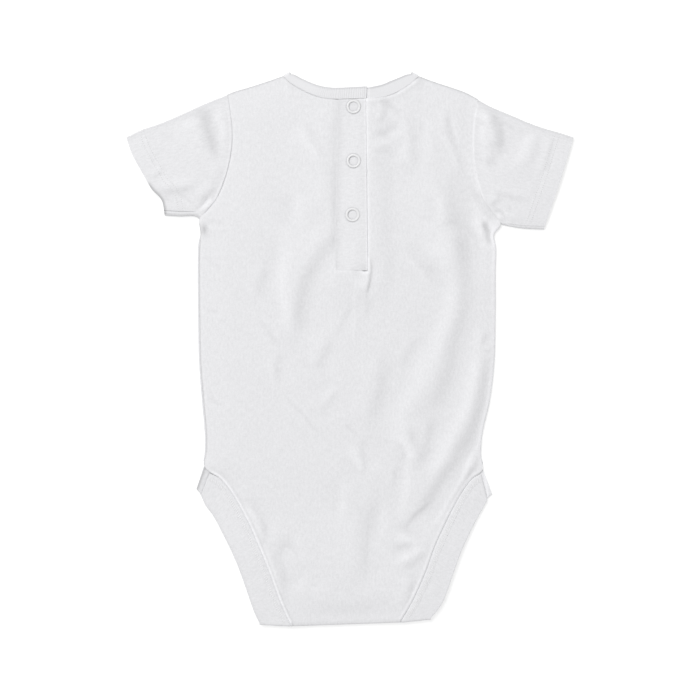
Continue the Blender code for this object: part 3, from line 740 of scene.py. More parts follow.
@dataclass(frozen=True)
class EnamelFinish:
    """White enamel on a pressed metal ring, with a faint unevenness."""

    name: str
    colour: Colour
    cloud: float = 900.0
    roughness: float = 0.32

    def material(self) -> Material:
        """Build the material.

        Returns:
            The material.
        """
        material, nodes, shader = new_material(self.name)
        cloud = nodes.noise(nodes.object_place(), self.cloud, 3.0)
        gloss = nodes.math("MULTIPLY_ADD", cloud, 0.15, self.roughness)
        nodes.feed(shader, Base_Color=nodes.mix(cloud, opaque(self.colour, 0.95), opaque(self.colour)),
                   Normal=nodes.bump(cloud, 0.15, 0.1), Roughness=gloss, Coat_Weight=0.3, Coat_Roughness=0.2)
        return material


@dataclass
class Finishes:
    """Every finish of the garment, made once."""

    cotton: Colour = (0.715, 0.715, 0.730)
    yarn: Colour = (0.82, 0.82, 0.83)
    white: Colour = (0.735, 0.735, 0.742)

    def __post_init__(self) -> None:
        """Build the materials."""
        groups = Groups()
        self.jersey = KnitFinish("white_jersey", self.cotton).material(groups)
        rib = KnitFinish("white_rib", self.cotton, wale=0.75, mottle=0.07, hollow=0.16)
        self.rib = rib.material(groups)
        self.thread = ThreadFinish("white_thread", self.yarn).material()
        self.enamel = EnamelFinish("white_enamel", self.white).material()


# ---- Cloth meshes ----

@dataclass
class Cloth:
    """One layer of cloth over a grid, for a node: its points, its place in the cut cloth, its wall."""

    node: str
    points: Grid
    weave: Grid
    wall: float
    # painted shade of each point; below zero it is painted light
    hollow: Grid | None = None
    gone: Grid | None = None
    closed: bool = False
    flipped: bool = False
    rim_share: float = 0.3
    rim_angle: float = 60.0

    def faces(self) -> Grid:
        """Point numbers of every face that is kept, four each.

        Returns:
            One row for each face.
        """
        rows, columns = self.points.shape[:2]
        index = np.arange(rows * columns).reshape(rows, columns)
        here = np.arange(columns if self.closed else columns - 1)
        after = (here + 1) % columns
        corners = np.stack([index[:-1][:, here], index[1:][:, here], index[1:][:, after],
                            index[:-1][:, after]], axis=-1)
        if self.flipped:
            corners = corners[..., ::-1]
        kept = np.ones(corners.shape[:2], bool) if self.gone is None else ~self.gone
        return corners[kept]

    def build(self, material: Material, slot: Slot) -> Object:
        """Make the mesh, give it its wall and soft rims, and let it ride on the garment.

        Args:
            material: Finish of the cloth.
            slot: Record slot of the finish; not used.

        Returns:
            The finished piece.
        """
        faces = self.faces()
        mesh = bpy.data.meshes.new(f"{self.node}_cloth")
        mesh.from_pydata((self.points.reshape(-1, 3) * MM).tolist(), [], faces.tolist())
        places = self.weave.reshape(-1, 2)[faces.reshape(-1)] * MM
        mesh.uv_layers.new(name="cloth").data.foreach_set("uv", places.ravel().astype(np.float32))
        # the painted shade goes on the mesh as a point attribute that darkens the colour in the material
        depth = np.zeros(len(mesh.vertices)) if self.hollow is None else self.hollow.ravel()
        hollow = mesh.attributes.new("hollow", "FLOAT", "POINT")
        hollow.data.foreach_set("value", depth.astype(np.float32))
        obj = bpy.data.objects.new(mesh.name, mesh)
        bpy.context.scene.collection.objects.link(obj)
        if self.gone is not None:
            self.drop_loose(obj)
        shell = obj.modifiers.new("wall", "SOLIDIFY")
        shell.thickness = self.wall * MM
        shell.offset = 0.0
        rim = obj.modifiers.new("rim", "BEVEL")
        rim.width = self.wall * self.rim_share * MM
        rim.segments = 2
        rim.limit_method = "ANGLE"
        rim.angle_limit = math.radians(self.rim_angle)
        apply_modifiers(obj)
        obj.data.shade_smooth()
        obj.data.materials.append(material)
        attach(obj, "root")
        return obj

    def drop_loose(self, obj: Object) -> None:
        """Delete grid points that no face uses.

        Args:
            obj: Object of the cloth's mesh.
        """
        select_only(obj)
        bpy.ops.object.mode_set(mode="EDIT")
        bpy.ops.mesh.select_all(action="SELECT")
        bpy.ops.mesh.delete_loose(use_verts=True, use_edges=True, use_faces=False)
        bpy.ops.object.mode_set(mode="OBJECT")


def slit_left(y: Grid) -> Grid:
    """Left edge of the placket's slit at a height."""
    return lerp(SLIT_LEFT[1], SLIT_LEFT[0], above(y, SLIT_END, SLIT_TOP - SLIT_END))


def strip_edge(y: Grid) -> Grid:
    """Free edge of the upper placket strip at a height."""
    return lerp(STRIP_EDGE[1], STRIP_EDGE[0], np.clip((y - SLIT_END) / (SLIT_TOP - SLIT_END), 0.0, 1.0))


def strip_drop(y: Grid) -> Grid:
    """How far the cloth falls to the upper strip's left seam at a height."""
    return STRIP_DROP[0] + (STRIP_DROP[1] - STRIP_DROP[0]) * bell(y - DEEPEST_DROP, 22.0)


def edge_level(y: Grid) -> Grid:
    """Level of the back panel's left and right edges.

    Args:
        y: Heights on the garment.

    Returns:
        The level at each height.
    """
    side = lerp(ARMHOLE_LEVEL, SIDE_LEVEL, below(y, 91.0, 14.0))
    leg = lerp(side, LEG_LEVEL, below(y, -76.0, 10.0))
    return lerp(leg, CROTCH_BACK_LEVEL, below(y, -90.0, 58.0))


def front_level(y: Grid) -> Grid:
    """Middle of the front's wall: flat on the surface, lifted by the snaps at the crotch."""
    return lerp(FRONT_LEVEL, CROTCH_FRONT_LEVEL, below(y, -128.0, 22.0))


def turned(gap: Grid) -> Grid:
    """Share by which a turned edge sinks, at distances from it."""
    return 1.0 - np.sqrt(1.0 - (1.0 - np.clip(gap / EDGE_RADIUS, 0.0, 1.0)) ** 2)


class PanelGrid:
    """Plan grid of a body panel, whose columns keep the neck corners and the slit's edges."""

    COUNTS = (31, 27, 12, 34, 28)   # columns of the five stretches of a row
    PLEAT_SHARE = 0.16      # share of the columns beside the slit that lie under the strip's edge
    CROTCH_SLIT = (0.40, 0.62)      # shares of a row between which the slit's columns run at the crotch

    def __init__(self, sections: tuple[Section, ...], neck: Path, step: float = ROW_STEP,
                 thin: int = 1) -> None:
        """Lay out the rows and columns.

        Args:
            sections: Rows that shape the panel, from the top down.
            neck: Neck seam of this panel.
            step: Distance between two rows.
            thin: Keep one column in this many.
        """
        table = np.array([(*item.left, *item.right, item.crown) for item in sections])
        rows = spline_rows(table, self.row_stations(table, step))
        rows[:, 0] += SEAM_GAP / 2.0
        rows[:, 2] -= SEAM_GAP / 2.0
        parts = self.row_parts(thin)
        self.top = Line(np.vstack([Line(SHOULDER_LEFT).points, Line(neck).points[1:],
                                   Line(SHOULDER_RIGHT).points[1:]]), smooth=False)
        top_x = self.spread(table[0:1], parts)[0]
        top_share = (top_x - table[0, 0]) / (table[0, 2] - table[0, 0])
        bend = self.top.height(top_x) - lerp(table[0, 1], table[0, 3], top_share)
        self.x = self.spread(rows, parts)
        share = (self.x - rows[:, :1]) / (rows[:, 2:3] - rows[:, :1])
        self.y = lerp(rows[:, 1:2], rows[:, 3:4], share) + rows[:, 4:5] * bend[None, :]
        self.left_gap = Line(rows[:, 0:2], smooth=False).gap(self.x, self.y)
        self.right_gap = Line(rows[:, 2:4], smooth=False).gap(self.x, self.y)
        self.side_gap = np.minimum(self.left_gap, self.right_gap)
        self.top_gap = self.top.gap(self.x, self.y)

    def row_stations(self, table: Grid, step: float) -> Grid:
        """Places of the rows along the sections, closer together at the top.

        Args:
            table: One row for each section.
            step: Distance between two rows.

        Returns:
            The places, counted in sections.
        """
        gaps = np.linalg.norm(np.diff(table[:, :2], axis=0), axis=1)
        stations = []
        for index, gap in enumerate(gaps):
            count = max(1, round(gap / step))
            part = shares(count + 3, fine_start=True)[:-1] if index == 0 else np.arange(count) / count
            stations.extend(index + part)
            if index + 1 == SLIT_SECTION:
                self.slit_rows = len(stations)
        return np.array([*stations, len(gaps)], float)

    def row_parts(self, thin: int) -> list[Grid]:
        """Columns of a row, counted from its left edge.

        Args:
            thin: Keep one column in this many.

        Returns:
            Shares of each of the five stretches.
        """
        counts = [max(2, count // thin) for count in self.COUNTS]
        fine = thin == 1
        pleat = max(2, counts[3] // 3)
        right_of_slit = np.concatenate([np.linspace(0.0, self.PLEAT_SHARE, pleat + 1)[:-1],
                                        np.linspace(self.PLEAT_SHARE, 1.0, counts[3] - pleat + 1)])
        self.slit_first = counts[0] + counts[1]
        self.slit_last = self.slit_first + counts[2]
        return [shares(counts[0], fine_start=fine), shares(counts[1], fine_end=fine), shares(counts[2]),
                right_of_slit, shares(counts[4], fine_end=fine)]

    def spread(self, rows: Grid, parts: list[Grid]) -> Grid:
        """Places across the garment of every column.

        Args:
            rows: Left and right ends of the rows.
            parts: Shares of the five stretches of a row.

        Returns:
            One row of places for each row.
        """
        left, right = rows[:, 0], rows[:, 2]
        height = lerp(rows[:, 1], rows[:, 3], 0.5)
        narrow = below(height, -60.0, 100.0)
        near_left = lerp(slit_left(height), lerp(left, right, self.CROTCH_SLIT[0]), narrow)
        near_right = lerp(SLIT_RIGHT, lerp(left, right, self.CROTCH_SLIT[1]), narrow)
        anchors = [left, lerp(left, near_left, NECK_CORNERS[0]), near_left, near_right,
                   lerp(near_right, right, NECK_CORNERS[1]), right]
        pieces = [left[:, None]]
        for start, end, part in zip(anchors, anchors[1:], parts):
            pieces.append(start[:, None] + (end - start)[:, None] * part[None, 1:])
        return np.concatenate(pieces, axis=1)


BODY_FOLDS = (
    # Paths run downwards or to the left, so that a roll above zero faces up and to the left.
    # Right side: the long roll from the shoulder, and the rolls beside it
    Roll(-0.32, 9.0, ((66, 130), (67, 112), (70, 94), (74, 78), (77, 62), (78, 44))),
    Roll(-0.27, 6.6, ((72, 90), (77, 64), (78, 46), (77, 30), (74, 16), (69, 0), (67, -14), (62, -28),
                     (57, -38), (54, -52)), taper=0.2),
    Roll(-0.25, 3.5, ((56, -44), (54, -56), (52, -70), (50, -84))),
    Roll(0.2, 6.0, ((44, 86), (52, 72), (58, 62), (65, 51), (68, 42), (67, 32), (64, 22), (60, 12), (57, 2),
                     (48, -12), (44, -26), (40, -40), (38, -54)), taper=0.25),
    Roll(-0.2, 1.9, ((35, 73), (43, 64), (50, 56), (56, 46), (59, 37))),
    Roll(0.2, 3.6, ((85, 108), (86, 92), (88, 80), (92, 70), (97, 60))),
    Roll(-0.18, 2.2, ((49, 14), (44, 6), (39, -3), (33, -15))),
    Roll(0.18, 6.0, ((43, -14), (38, -28), (34, -42), (31, -56), (29, -72), (26, -88))),
    # Shoulder and chest on the right
    Roll(-0.24, 1.9, ((68, 171), (67, 160), (69, 149), (73, 139), (76, 130), (79, 119)), taper=0.2),
    Roll(0.22, 1.3, ((70, 169), (71, 158), (74, 149), (76, 140))),
    Fold(0.2, 1.6, ((61, 152), (66, 146), (69, 138))),
    Roll(0.15, 4.0, ((52, 170), (52, 152), (52, 136), (55, 124))),
    Roll(-0.18, 2.5, ((42, 160), (43, 148), (43, 134), (45, 122))),
    Roll(0.18, 3.0, ((41, 150), (36, 140), (32, 128))),
    Roll(0.2, 3.6, ((60, 112), (61, 98), (62, 84))),
    Fold(-0.6, 2.6, ((19, 178), (26, 172), (33, 166), (37, 159))),
    Roll(-0.22, 2.6, ((34, 163), (29, 157), (22, 153), (14, 152))),
    Roll(0.18, 3.2, ((37, 164), (34, 156), (28, 150), (20, 147), (14, 146))),
    Roll(-0.25, 1.6, ((20, 175), (23, 169), (21, 162), (15, 160))),
    Roll(-0.15, 2.0, ((28, 145), (22, 141), (15, 140))),
    # Hip on the right
    Roll(-0.35, 4.9, ((93, 8), (92, -6), (91, -20), (89, -34), (86, -47), (82, -57), (75, -69), (68, -81),
                      (60, -94), (52, -107), (44, -117), (37, -127)), taper=0.2),
    Roll(0.2, 5.5, ((89, 14), (87, -4), (84, -20), (80, -34), (74, -48), (67, -60), (62, -72), (57, -85),
                     (50, -99)), taper=0.25),
    Roll(0.32, 1.5, ((93, -58), (86, -70), (81, -80), (78, -89), (73, -98), (68, -106), (61, -117),
                     (55, -126)), taper=0.2),
    Roll(-0.45, 2.0, ((92, -68), (86, -80), (82, -88), (76, -98), (70, -107), (63, -118))),
    Roll(-0.35, 1.2, ((60, -103), (52, -109), (45, -115), (40, -121), (36, -127))),
    Roll(-0.3, 1.5, ((96, 14), (92, 7), (92, 0))),
    Fold(-0.3, 1.5, ((92, 0), (96, -1), (101, -1))),
    Roll(0.26, 3.6, ((41, -62), (39, -78), (38, -92), (36, -106), (33, -124)), taper=0.25),
    Roll(0.25, 1.6, ((34, -61), (38, -70), (43, -81))),
    Roll(-0.28, 3.0, ((41, -50), (42, -62), (47, -73), (51, -86))),
    Roll(0.22, 2.2, ((53, -135), (46, -132), (38, -129), (30, -127))),
    Roll(0.28, 2.5, ((54, -134), (45, -140), (37, -144), (28, -149))),
    Roll(-0.28, 1.8, ((45, -134), (38, -136), (30, -134))),
    Roll(-0.22, 2.8, ((57, -139), (50, -143), (43, -148), (35, -151))),
    Roll(-0.32, 3.0, ((46, -155), (42, -168), (38, -184))),
    # Middle below the placket
    Roll(-0.26, 4.8, ((20, 2), (21, -14), (19, -30), (16, -46), (17, -62))),
    Roll(-0.22, 1.4, ((1, 34), (-4, 25), (-8, 16), (-13, 6))),
    Roll(-0.24, 3.0, ((-12, 10), (-18, 0), (-22, -8), (-29, -15))),
    Roll(0.14, 2.4, ((-7, -19), (-16, -29), (-25, -38))),
    Roll(-0.14, 2.6, ((-9, -26), (-16, -36), (-25, -48))),
    Fold(-0.35, 1.8, ((-5, -51), (1, -56), (7, -62))),
    Roll(-0.24, 3.0, ((4, -62), (8, -74), (12, -87))),
    Roll(0.16, 1.8, ((-4, -70), (2, -78), (8, -88))),
    Roll(-0.22, 1.4, ((31, -80), (30, -90), (29, -100))),
    Roll(-0.13, 3.2, ((25, -90), (18, -99), (16, -110), (15, -124), (13, -143))),
    Roll(-0.22, 8.5, ((5, -100), (7, -118), (8, -136), (8, -154), (8, -172))),
    Roll(0.16, 3.0, ((-6, -88), (-7, -103), (-9, -119))),
    Roll(0.2, 3.2, ((21, -104), (22, -120), (20, -138))),
    Roll(-0.16, 7.0, ((38, -175), (12, -178), (-14, -178), (-40, -175))),
    Fold(-0.4, 4.0, ((-25, -155), (-24, -168))),
    # Left of the placket
    Roll(-0.22, 6.0, ((-14, 176), (-14, 150), (-15, 125), (-15, 100), (-19, 82))),
    Roll(-0.3, 6.0, ((-11, 90), (-15, 79), (-21, 68), (-28, 57), (-33, 46), (-36, 36), (-38, 25), (-37, 13),
                     (-35, 2)), taper=0.2),
    Roll(0.24, 5.5, ((-48, 90), (-48, 72), (-50, 56), (-51, 42), (-48, 28), (-46, 14), (-45, 0))),
    Roll(-0.2, 3.0, ((-57, 62), (-62, 52), (-65, 42), (-67, 31))),
    Fold(-0.35, 2.4, ((-65, 23), (-58, 14), (-52, 6), (-48, -1))),
    Roll(-0.2, 2.4, ((-47, 2), (-52, -8), (-52, -18), (-48, -28))),
    Fold(-0.25, 1.4, ((-48, -28), (-40, -38), (-33, -45), (-26, -54), (-18, -62), (-10, -70))),
    Roll(-0.32, 3.4, ((-33, 160), (-28, 148), (-22, 138), (-17, 128))),
    Fold(0.15, 2.2, ((-24, 132), (-20, 122))),
    Fold(0.15, 3.2, ((-21, 158), (-20, 148))),
    Roll(0.2, 5.0, ((-38, 112), (-39, 96), (-38, 80))),
    # Left side and leg
    Fold(-0.45, 2.2, ((-102, 91), (-94, 89), (-85, 88))),
    Fold(-0.3, 2.0, ((-101, 62), (-96, 60), (-89, 56))),
    Fold(-0.3, 1.8, ((-102, 27), (-97, 27), (-90, 26))),
    Fold(-0.35, 2.0, ((-101, -33), (-95, -36), (-87, -40))),
    Fold(-0.3, 1.8, ((-95, -85), (-87, -88), (-80, -93), (-74, -98))),
    Roll(-0.55, 2.4, ((-77, -105), (-69, -111), (-63, -118), (-60, -127), (-57, -137))),
    Roll(-0.42, 5.0, ((-60, -132), (-55, -142), (-50, -153), (-46, -163), (-41, -173))),
    Roll(-0.28, 3.4, ((-51, -129), (-47, -140), (-44, -152), (-41, -166))),
    Roll(0.2, 3.0, ((-41, -130), (-37, -142), (-36, -154))),
    # Pocket under the right arm
    Fold(-2.0, 2.4, ((93, 92), (95.5, 85), (97.5, 78), (99, 71))),
    # Foot of the placket: the rise below it, pleat and centre crease
    Roll(0.15, 4.0, ((18, 49), (9, 49), (0, 49)), taper=0.4),
    Roll(-0.9, 0.9, ((13, 70), (14.6, 59), (14.2, 51.5), (12.5, 44), (9.5, 35))),
    Roll(-0.2, 1.8, ((13, 40), (11.5, 29), (11, 18))),
    Fold(0.2, 1.5, ((3, 48), (2.9, 20), (2.6, -6))),
)


@dataclass
class BackPanel:
    """Back of the body: slit for the placket, leg cuts, and its lower end turned under.

    Welts of relief and of painted shading stand beside the edge that they are named for; painted shading is
    painted shade above zero and painted light below it.
    """

    node: str = "back_panel"
    swell: tuple[float, float] = (0.12, 0.06)       # slow and quick unevenness of the resting cloth
    strip_rise: float = 0.3         # how far the back stands over the upper strip beside its left seam
    least_lift: float = 0.6         # how far a trough may sink under the edge's level
    left_leg: tuple[Welt, ...] = (Welt(1.0, 0.9, 0.75), Welt(-0.2, 0.0, 0.3))
    right_leg: tuple[Welt, ...] = (Welt(0.4, 1.4, 0.8), Welt(-0.5, 0.0, 0.5))
    left_armhole: Welt = Welt(-0.4, 0.0, 0.7)
    armhole_pucker: Welt = Welt(0.1, 3.5, 2.0)
    pucker_pitch: float = 4.4
    neck_right: Welt = Welt(0.35, 1.7, 0.8)
    strip_shadow: Welt = Welt(0.1, 1.6, 1.4)
    # painted shading beside rims and seams: painted shade above zero, painted light below
    side_painted_shading: tuple[Welt, Welt] = (Welt(2.6, 0.0, 0.55), Welt(-1.2, 0.0, 0.7))     # left and right
    leg_painted_light: Welt = Welt(-0.8, 0.9, 0.7)
    armhole_painted_shade: Welt = Welt(0.2, 0.0, 0.6)
    upper_armhole_painted_light: tuple[Welt, ...] = (Welt(-0.9, 0.0, 0.8), Welt(-0.35, 3.0, 2.5))
    lower_armhole_painted_shade: Welt = Welt(0.6, 1.5, 2.0)
    strip_painted_light: Welt = Welt(-0.3, 1.8, 1.6)
    shoulder_painted_shade: Welt = Welt(2.6, 0.0, 0.8)
    neck_painted_shade: tuple[Welt, ...] = (Welt(0.4, 0.0, 0.4), Welt(0.25, 1.6, 1.4))
    neck_right_painted_light: Welt = Welt(-0.4, 0.0, 0.6)
    pit_shadow: Point = (-101.8, 84.5)     # middle of a painted shadow spot, standing for a deep pit under the left arm
    flap_rows: int = 22
    full_shade_depth: float = 0.4       # depth of a crevice that gets the whole painted shade
    # painted shade on the crotch fold and the turned-under end, which lie in the garment's shade
    flap_painted_shade: float = 0.5

    def __post_init__(self) -> None:
        """Lay out the grid, and where its rows lie outside the neck."""
        self.grid = PanelGrid(ARMHOLE_SECTIONS + SIDE_SECTIONS + BACK_LEG_SECTIONS, NECK_SEAM)
        self.outside_neck = above(np.abs(self.grid.x - NECK_MIDDLE), NECK_HALF, 6.0)

    def level(self) -> Grid:
        """Middle of the wall.

        Returns:
            The level of every grid point.
        """
        grid = self.grid
        x, y = grid.x, grid.y
        middle = lerp(BACK_LEVEL, CROTCH_BACK_LEVEL, below(y, -112.0, 36.0))
        beside = above(y, SLIT_END - PLEAT_LENGTH, PLEAT_LENGTH)
        climb = OVER_STRIP_LEVEL + self.strip_rise - BACK_LEVEL
        over = middle + beside * climb * bell(np.maximum(slit_left(y) - x, 0.0), 20.0)
        middle = lerp(self.right_of_slit(middle, beside), over, self.pleat_side())
        middle += self.swell[0] * ripple(x, y, 7, 34.0) + self.swell[1] * ripple(x, y, 8, 10.0)
        inside = np.sin(np.clip(grid.side_gap / EDGE_ROLL, 0.0, 1.0) * math.pi / 2.0)
        lift = lerp(EDGE_LIFT, np.where(x < 0.0, 0.35, 0.0), above(y, 84.0, 10.0)) * above(y, -88.0, 10.0)
        level = lerp(edge_level(y) + lift, middle, inside)
        shoulder = np.sin(np.clip(grid.top_gap / EDGE_ROLL, 0.0, 1.0) * math.pi / 2.0)
        level = lerp(level, lerp(SHOULDER_LEVEL + 0.5, level, shoulder), self.outside_neck)
        level += fold_height(BODY_FOLDS, x, y) * ease(grid.side_gap / 4.0)
        level += self.edge_relief(lift) + self.placket_relief()
        floor = lerp(SIDE_LEVEL - 0.25, CROTCH_BACK_LEVEL - 0.3, below(y, -118.0, 32.0))
        return np.maximum(level, np.minimum(floor, edge_level(y)) - self.least_lift)

    def pleat_step(self) -> Grid:
        """Place across of the step from the upper to the lower side of the slit, and of its pleat.

        Returns:
            The place in every row, at each grid point.
        """
        y = self.grid.y
        share = np.clip((SLIT_END - y) / PLEAT_LENGTH, 0.0, 1.0)
        pleat = lerp(STRIP_EDGE[1] + 1.0, PLEAT_FOOT, share ** 1.5)
        return np.where(y >= SLIT_END, SLIT_RIGHT - 0.01, pleat)

    def pleat_side(self) -> Grid:
        """1 left of the slit or pleat and 0 right of it.

        Returns:
            The share at each grid point.
        """
        step = self.pleat_step()
        pleat = 1.0 - above(self.grid.x, step - 0.8, 1.6)
        return np.where(self.grid.y >= SLIT_END, self.grid.x < step, pleat)

    def right_of_slit(self, middle: Grid, beside: Grid) -> Grid:
        """Level right of the slit: sewn low under the upper strip, then up beside its free edge.

        Args:
            middle: Plain level of the back.
            beside: 1 beside the slit and 0 from the foot of its pleat down.

        Returns:
            The level at each grid point.
        """
        y = self.grid.y
        past = self.grid.x - np.where(y >= SLIT_END, strip_edge(y), self.pleat_step() - 1.0)
        rise = 1.35 + 0.3 * above(y, 120.0, 20.0)
        sewn = RIGHT_SLIT_LEVEL + 0.6 * above(past, -2.2, 1.6) + rise * above(past, -0.5, 1.0)
        sewn += (middle - RIGHT_SLIT_LEVEL - 0.6 - rise) * above(past, 3.0, 16.0)
        return lerp(middle, sewn, beside)

    def edge_relief(self, lift: Grid) -> Grid:
        """Relief beside the panel's edges: turned sides and shoulders, sewn legs and armholes.

        Args:
            lift: How far the cloth stands over its side edges.

        Returns:
            The rise at each grid point.
        """
        x, y, gap = self.grid.x, self.grid.y, self.grid.side_gap
        leg = below(y, -82.0, 6.0)
        relief = -turned(gap) * below(y, 92.0, 6.0) * above(y, -84.0, 6.0) * lift
        relief += leg * (x < 0.0) * welts(gap, *self.left_leg)
        relief += leg * (x > 0.0) * welts(gap, *self.right_leg)
        relief += above(y, 88.0, 6.0) * (x < 0.0) * welts(gap, self.left_armhole)
        pucker = np.sin(y / self.pucker_pitch * math.tau + 2.0 * np.sin(y / 9.0))
        relief += above(y, 106.0, 10.0) * (x > 0.0) * pucker * welts(gap, self.armhole_pucker)
        return relief - self.outside_neck * turned(self.grid.top_gap) * 0.5

    def placket_relief(self) -> Grid:
        """Relief beside the neck seam and along both sides of the placket.

        Returns:
            The rise at each grid point.
        """
        x, y, gap = self.grid.x, self.grid.y, self.grid.top_gap
        right = above(x, 11.0, 4.0)
        relief = -lerp(0.38, 0.1, right) * bell(gap, 0.6) + right * welts(gap, self.neck_right)
        relief *= 1.0 - self.outside_neck
        drop = strip_drop(y) * bell(np.minimum(x - slit_left(y), 0.0), 3.2)
        relief -= drop * above(y, SLIT_END, 20.0) * (x < 0.0)
        upper = above(y, 66.0, 8.0) * (x > 9.0) * (y < SLIT_TOP + 0.5)
        return relief + welts(x - strip_edge(y), self.strip_shadow) * upper

    def rims(self) -> Grid:
        """Painted shade and painted light of the panel's rims, where the cloth turns away, and of its seams.

        Returns:
            The painted shading of each grid point.
        """
        grid = self.grid
        x, y = grid.x, grid.y
        side = below(y, 92.0, 6.0) * above(y, -84.0, 6.0)
        # painted shade along the left side edge and painted light along the right, painted light beside the
        # left leg seam and the strip's free edge, painted shade and light along the armholes, painted shade
        # along the shoulders
        painted_shading = side * (welts(grid.left_gap, self.side_painted_shading[0]) + welts(grid.right_gap, self.side_painted_shading[1]))
        painted_shading += welts(grid.left_gap, self.leg_painted_light) * below(y, -84.0, 6.0)
        painted_shading += welts(grid.left_gap, self.armhole_painted_shade) * above(y, 92.0, 8.0)
        painted_shading += welts(grid.right_gap, *self.upper_armhole_painted_light) * above(y, 108.0, 8.0)
        low = above(y, 90.0, 5.0) * below(y, 113.0, 6.0)
        painted_shading += welts(grid.right_gap, self.lower_armhole_painted_shade) * low
        painted_shading += welts(x - strip_edge(y), self.strip_painted_light) * above(y, 60.0, 8.0) * (x > 9.0)
        painted_shading += welts(grid.top_gap, self.shoulder_painted_shade) * self.outside_neck
        # painted shade along the neck seam left of the strip's free edge, painted light right of it
        neck = welts(grid.top_gap, *self.neck_painted_shade) * (x < 11.0)
        neck += welts(grid.top_gap, self.neck_right_painted_light) * above(x, 14.0, 6.0)
        painted_shading += neck * (1.0 - self.outside_neck)
        # painted light along the slit's foot, and a painted shadow spot in the pit under the left arm
        foot = bell(y - SLIT_END, 0.8) * (1.0 - above(x, -3.0, 6.0)) * (x > slit_left(y) - 1.0)
        pit_shadow = np.hypot(x - self.pit_shadow[0], (y - self.pit_shadow[1]) / 2.0)
        return painted_shading - 0.45 * foot + 3.0 * bell(pit_shadow, 1.9)

    def turned_end(self, last: Grid) -> Grid:
        """Carry the last row round the crotch fold and back up under the garment.

        Args:
            last: Points of the panel's last row.

        Returns:
            The rows of the fold and of the turned-under end.
        """
        rows = []
        for angle in CROTCH_ANGLES:
            level = lerp(last[:, 2], CROTCH_FLAP_LEVEL, (1.0 - math.cos(angle)) / 2.0)
            fold = last[:, 1] - CROTCH_RADIUS * math.sin(angle)
            rows.append(np.stack([last[:, 0], fold, level], axis=-1))
        flap = np.linspace(-FLAP_HALF, FLAP_HALF, len(last))
        for share in np.linspace(0.0, 1.0, self.flap_rows):
            x = lerp(last[:, 0], flap, ease(share))
            y = lerp(last[:, 1], FLAP_END, share)
            level = CROTCH_FLAP_LEVEL + self.swell[1] * ripple(x, y, 21, 16.0)
            rows.append(np.stack([x, y, level], axis=-1))
        return np.stack(rows)

    def build(self, finishes: Finishes) -> Object:
        """Make the panel.

        Args:
            finishes: The garment's finishes.

        Returns:
            The finished piece.
        """
        grid = self.grid
        body = np.stack([grid.x, grid.y, self.level()], axis=-1)
        points = np.concatenate([body, self.turned_end(body[-1])])
        rows = len(body)
        weave = points[..., :2].copy()
        drop = np.cumsum(np.linalg.norm(np.diff(points[rows - 1:], axis=0), axis=-1), axis=0)
        weave[rows:, :, 1] = body[-1, :, 1] - drop
        # painted shade in crevices and painted light on ridges, then the rims' painted shading
        hollow = np.clip(crevice(points[..., 2], 6) / self.full_shade_depth, -1.0, 1.8)
        hollow[:rows] += self.rims()
        hollow[rows - 2:] = self.flap_painted_shade
        gone = np.zeros((len(points) - 1, points.shape[1] - 1), bool)
        gone[:grid.slit_rows, grid.slit_first:grid.slit_last] = True
        cloth = Cloth(self.node, points, weave, JERSEY_WALL, hollow, gone)
        piece = cloth.build(finishes.jersey, Slot.JERSEY)
        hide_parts("back_panel")
        return piece


@dataclass
class FrontPanel:
    """Front of the body, flat on the surface: lower neck, leg cuts and the crotch end."""

    node: str = "front_panel"
    step: float = 3.2               # distance between two rows of its grid
    rim_rise: float = 0.5           # rise of the left rim that shows past the back

    def build(self, finishes: Finishes) -> Object:
        """Make the panel.

        Args:
            finishes: The garment's finishes.

        Returns:
            The finished piece.
        """
        sections = ARMHOLE_SECTIONS + SIDE_SECTIONS + FRONT_LEG_SECTIONS
        grid = PanelGrid(sections, FRONT_NECK_SEAM, self.step, thin=2)
        side = below(grid.y, 84.0, 10.0) * above(grid.y, -80.0, 10.0)
        peek = (1.0 - ease(grid.left_gap / 30.0)) * side * SIDE_PEEK
        rise = self.rim_rise * (1.0 - ease(grid.left_gap / 2.2)) * side
        points = np.stack([grid.x - peek, grid.y, front_level(grid.y) + rise], axis=-1)
        weave = points[..., :2].copy()
        piece = Cloth(self.node, points, weave, JERSEY_WALL).build(finishes.jersey, Slot.JERSEY)
        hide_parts("front_panel")
        return piece


# ---- Doubled strips: placket, leg bands and neck rib ----

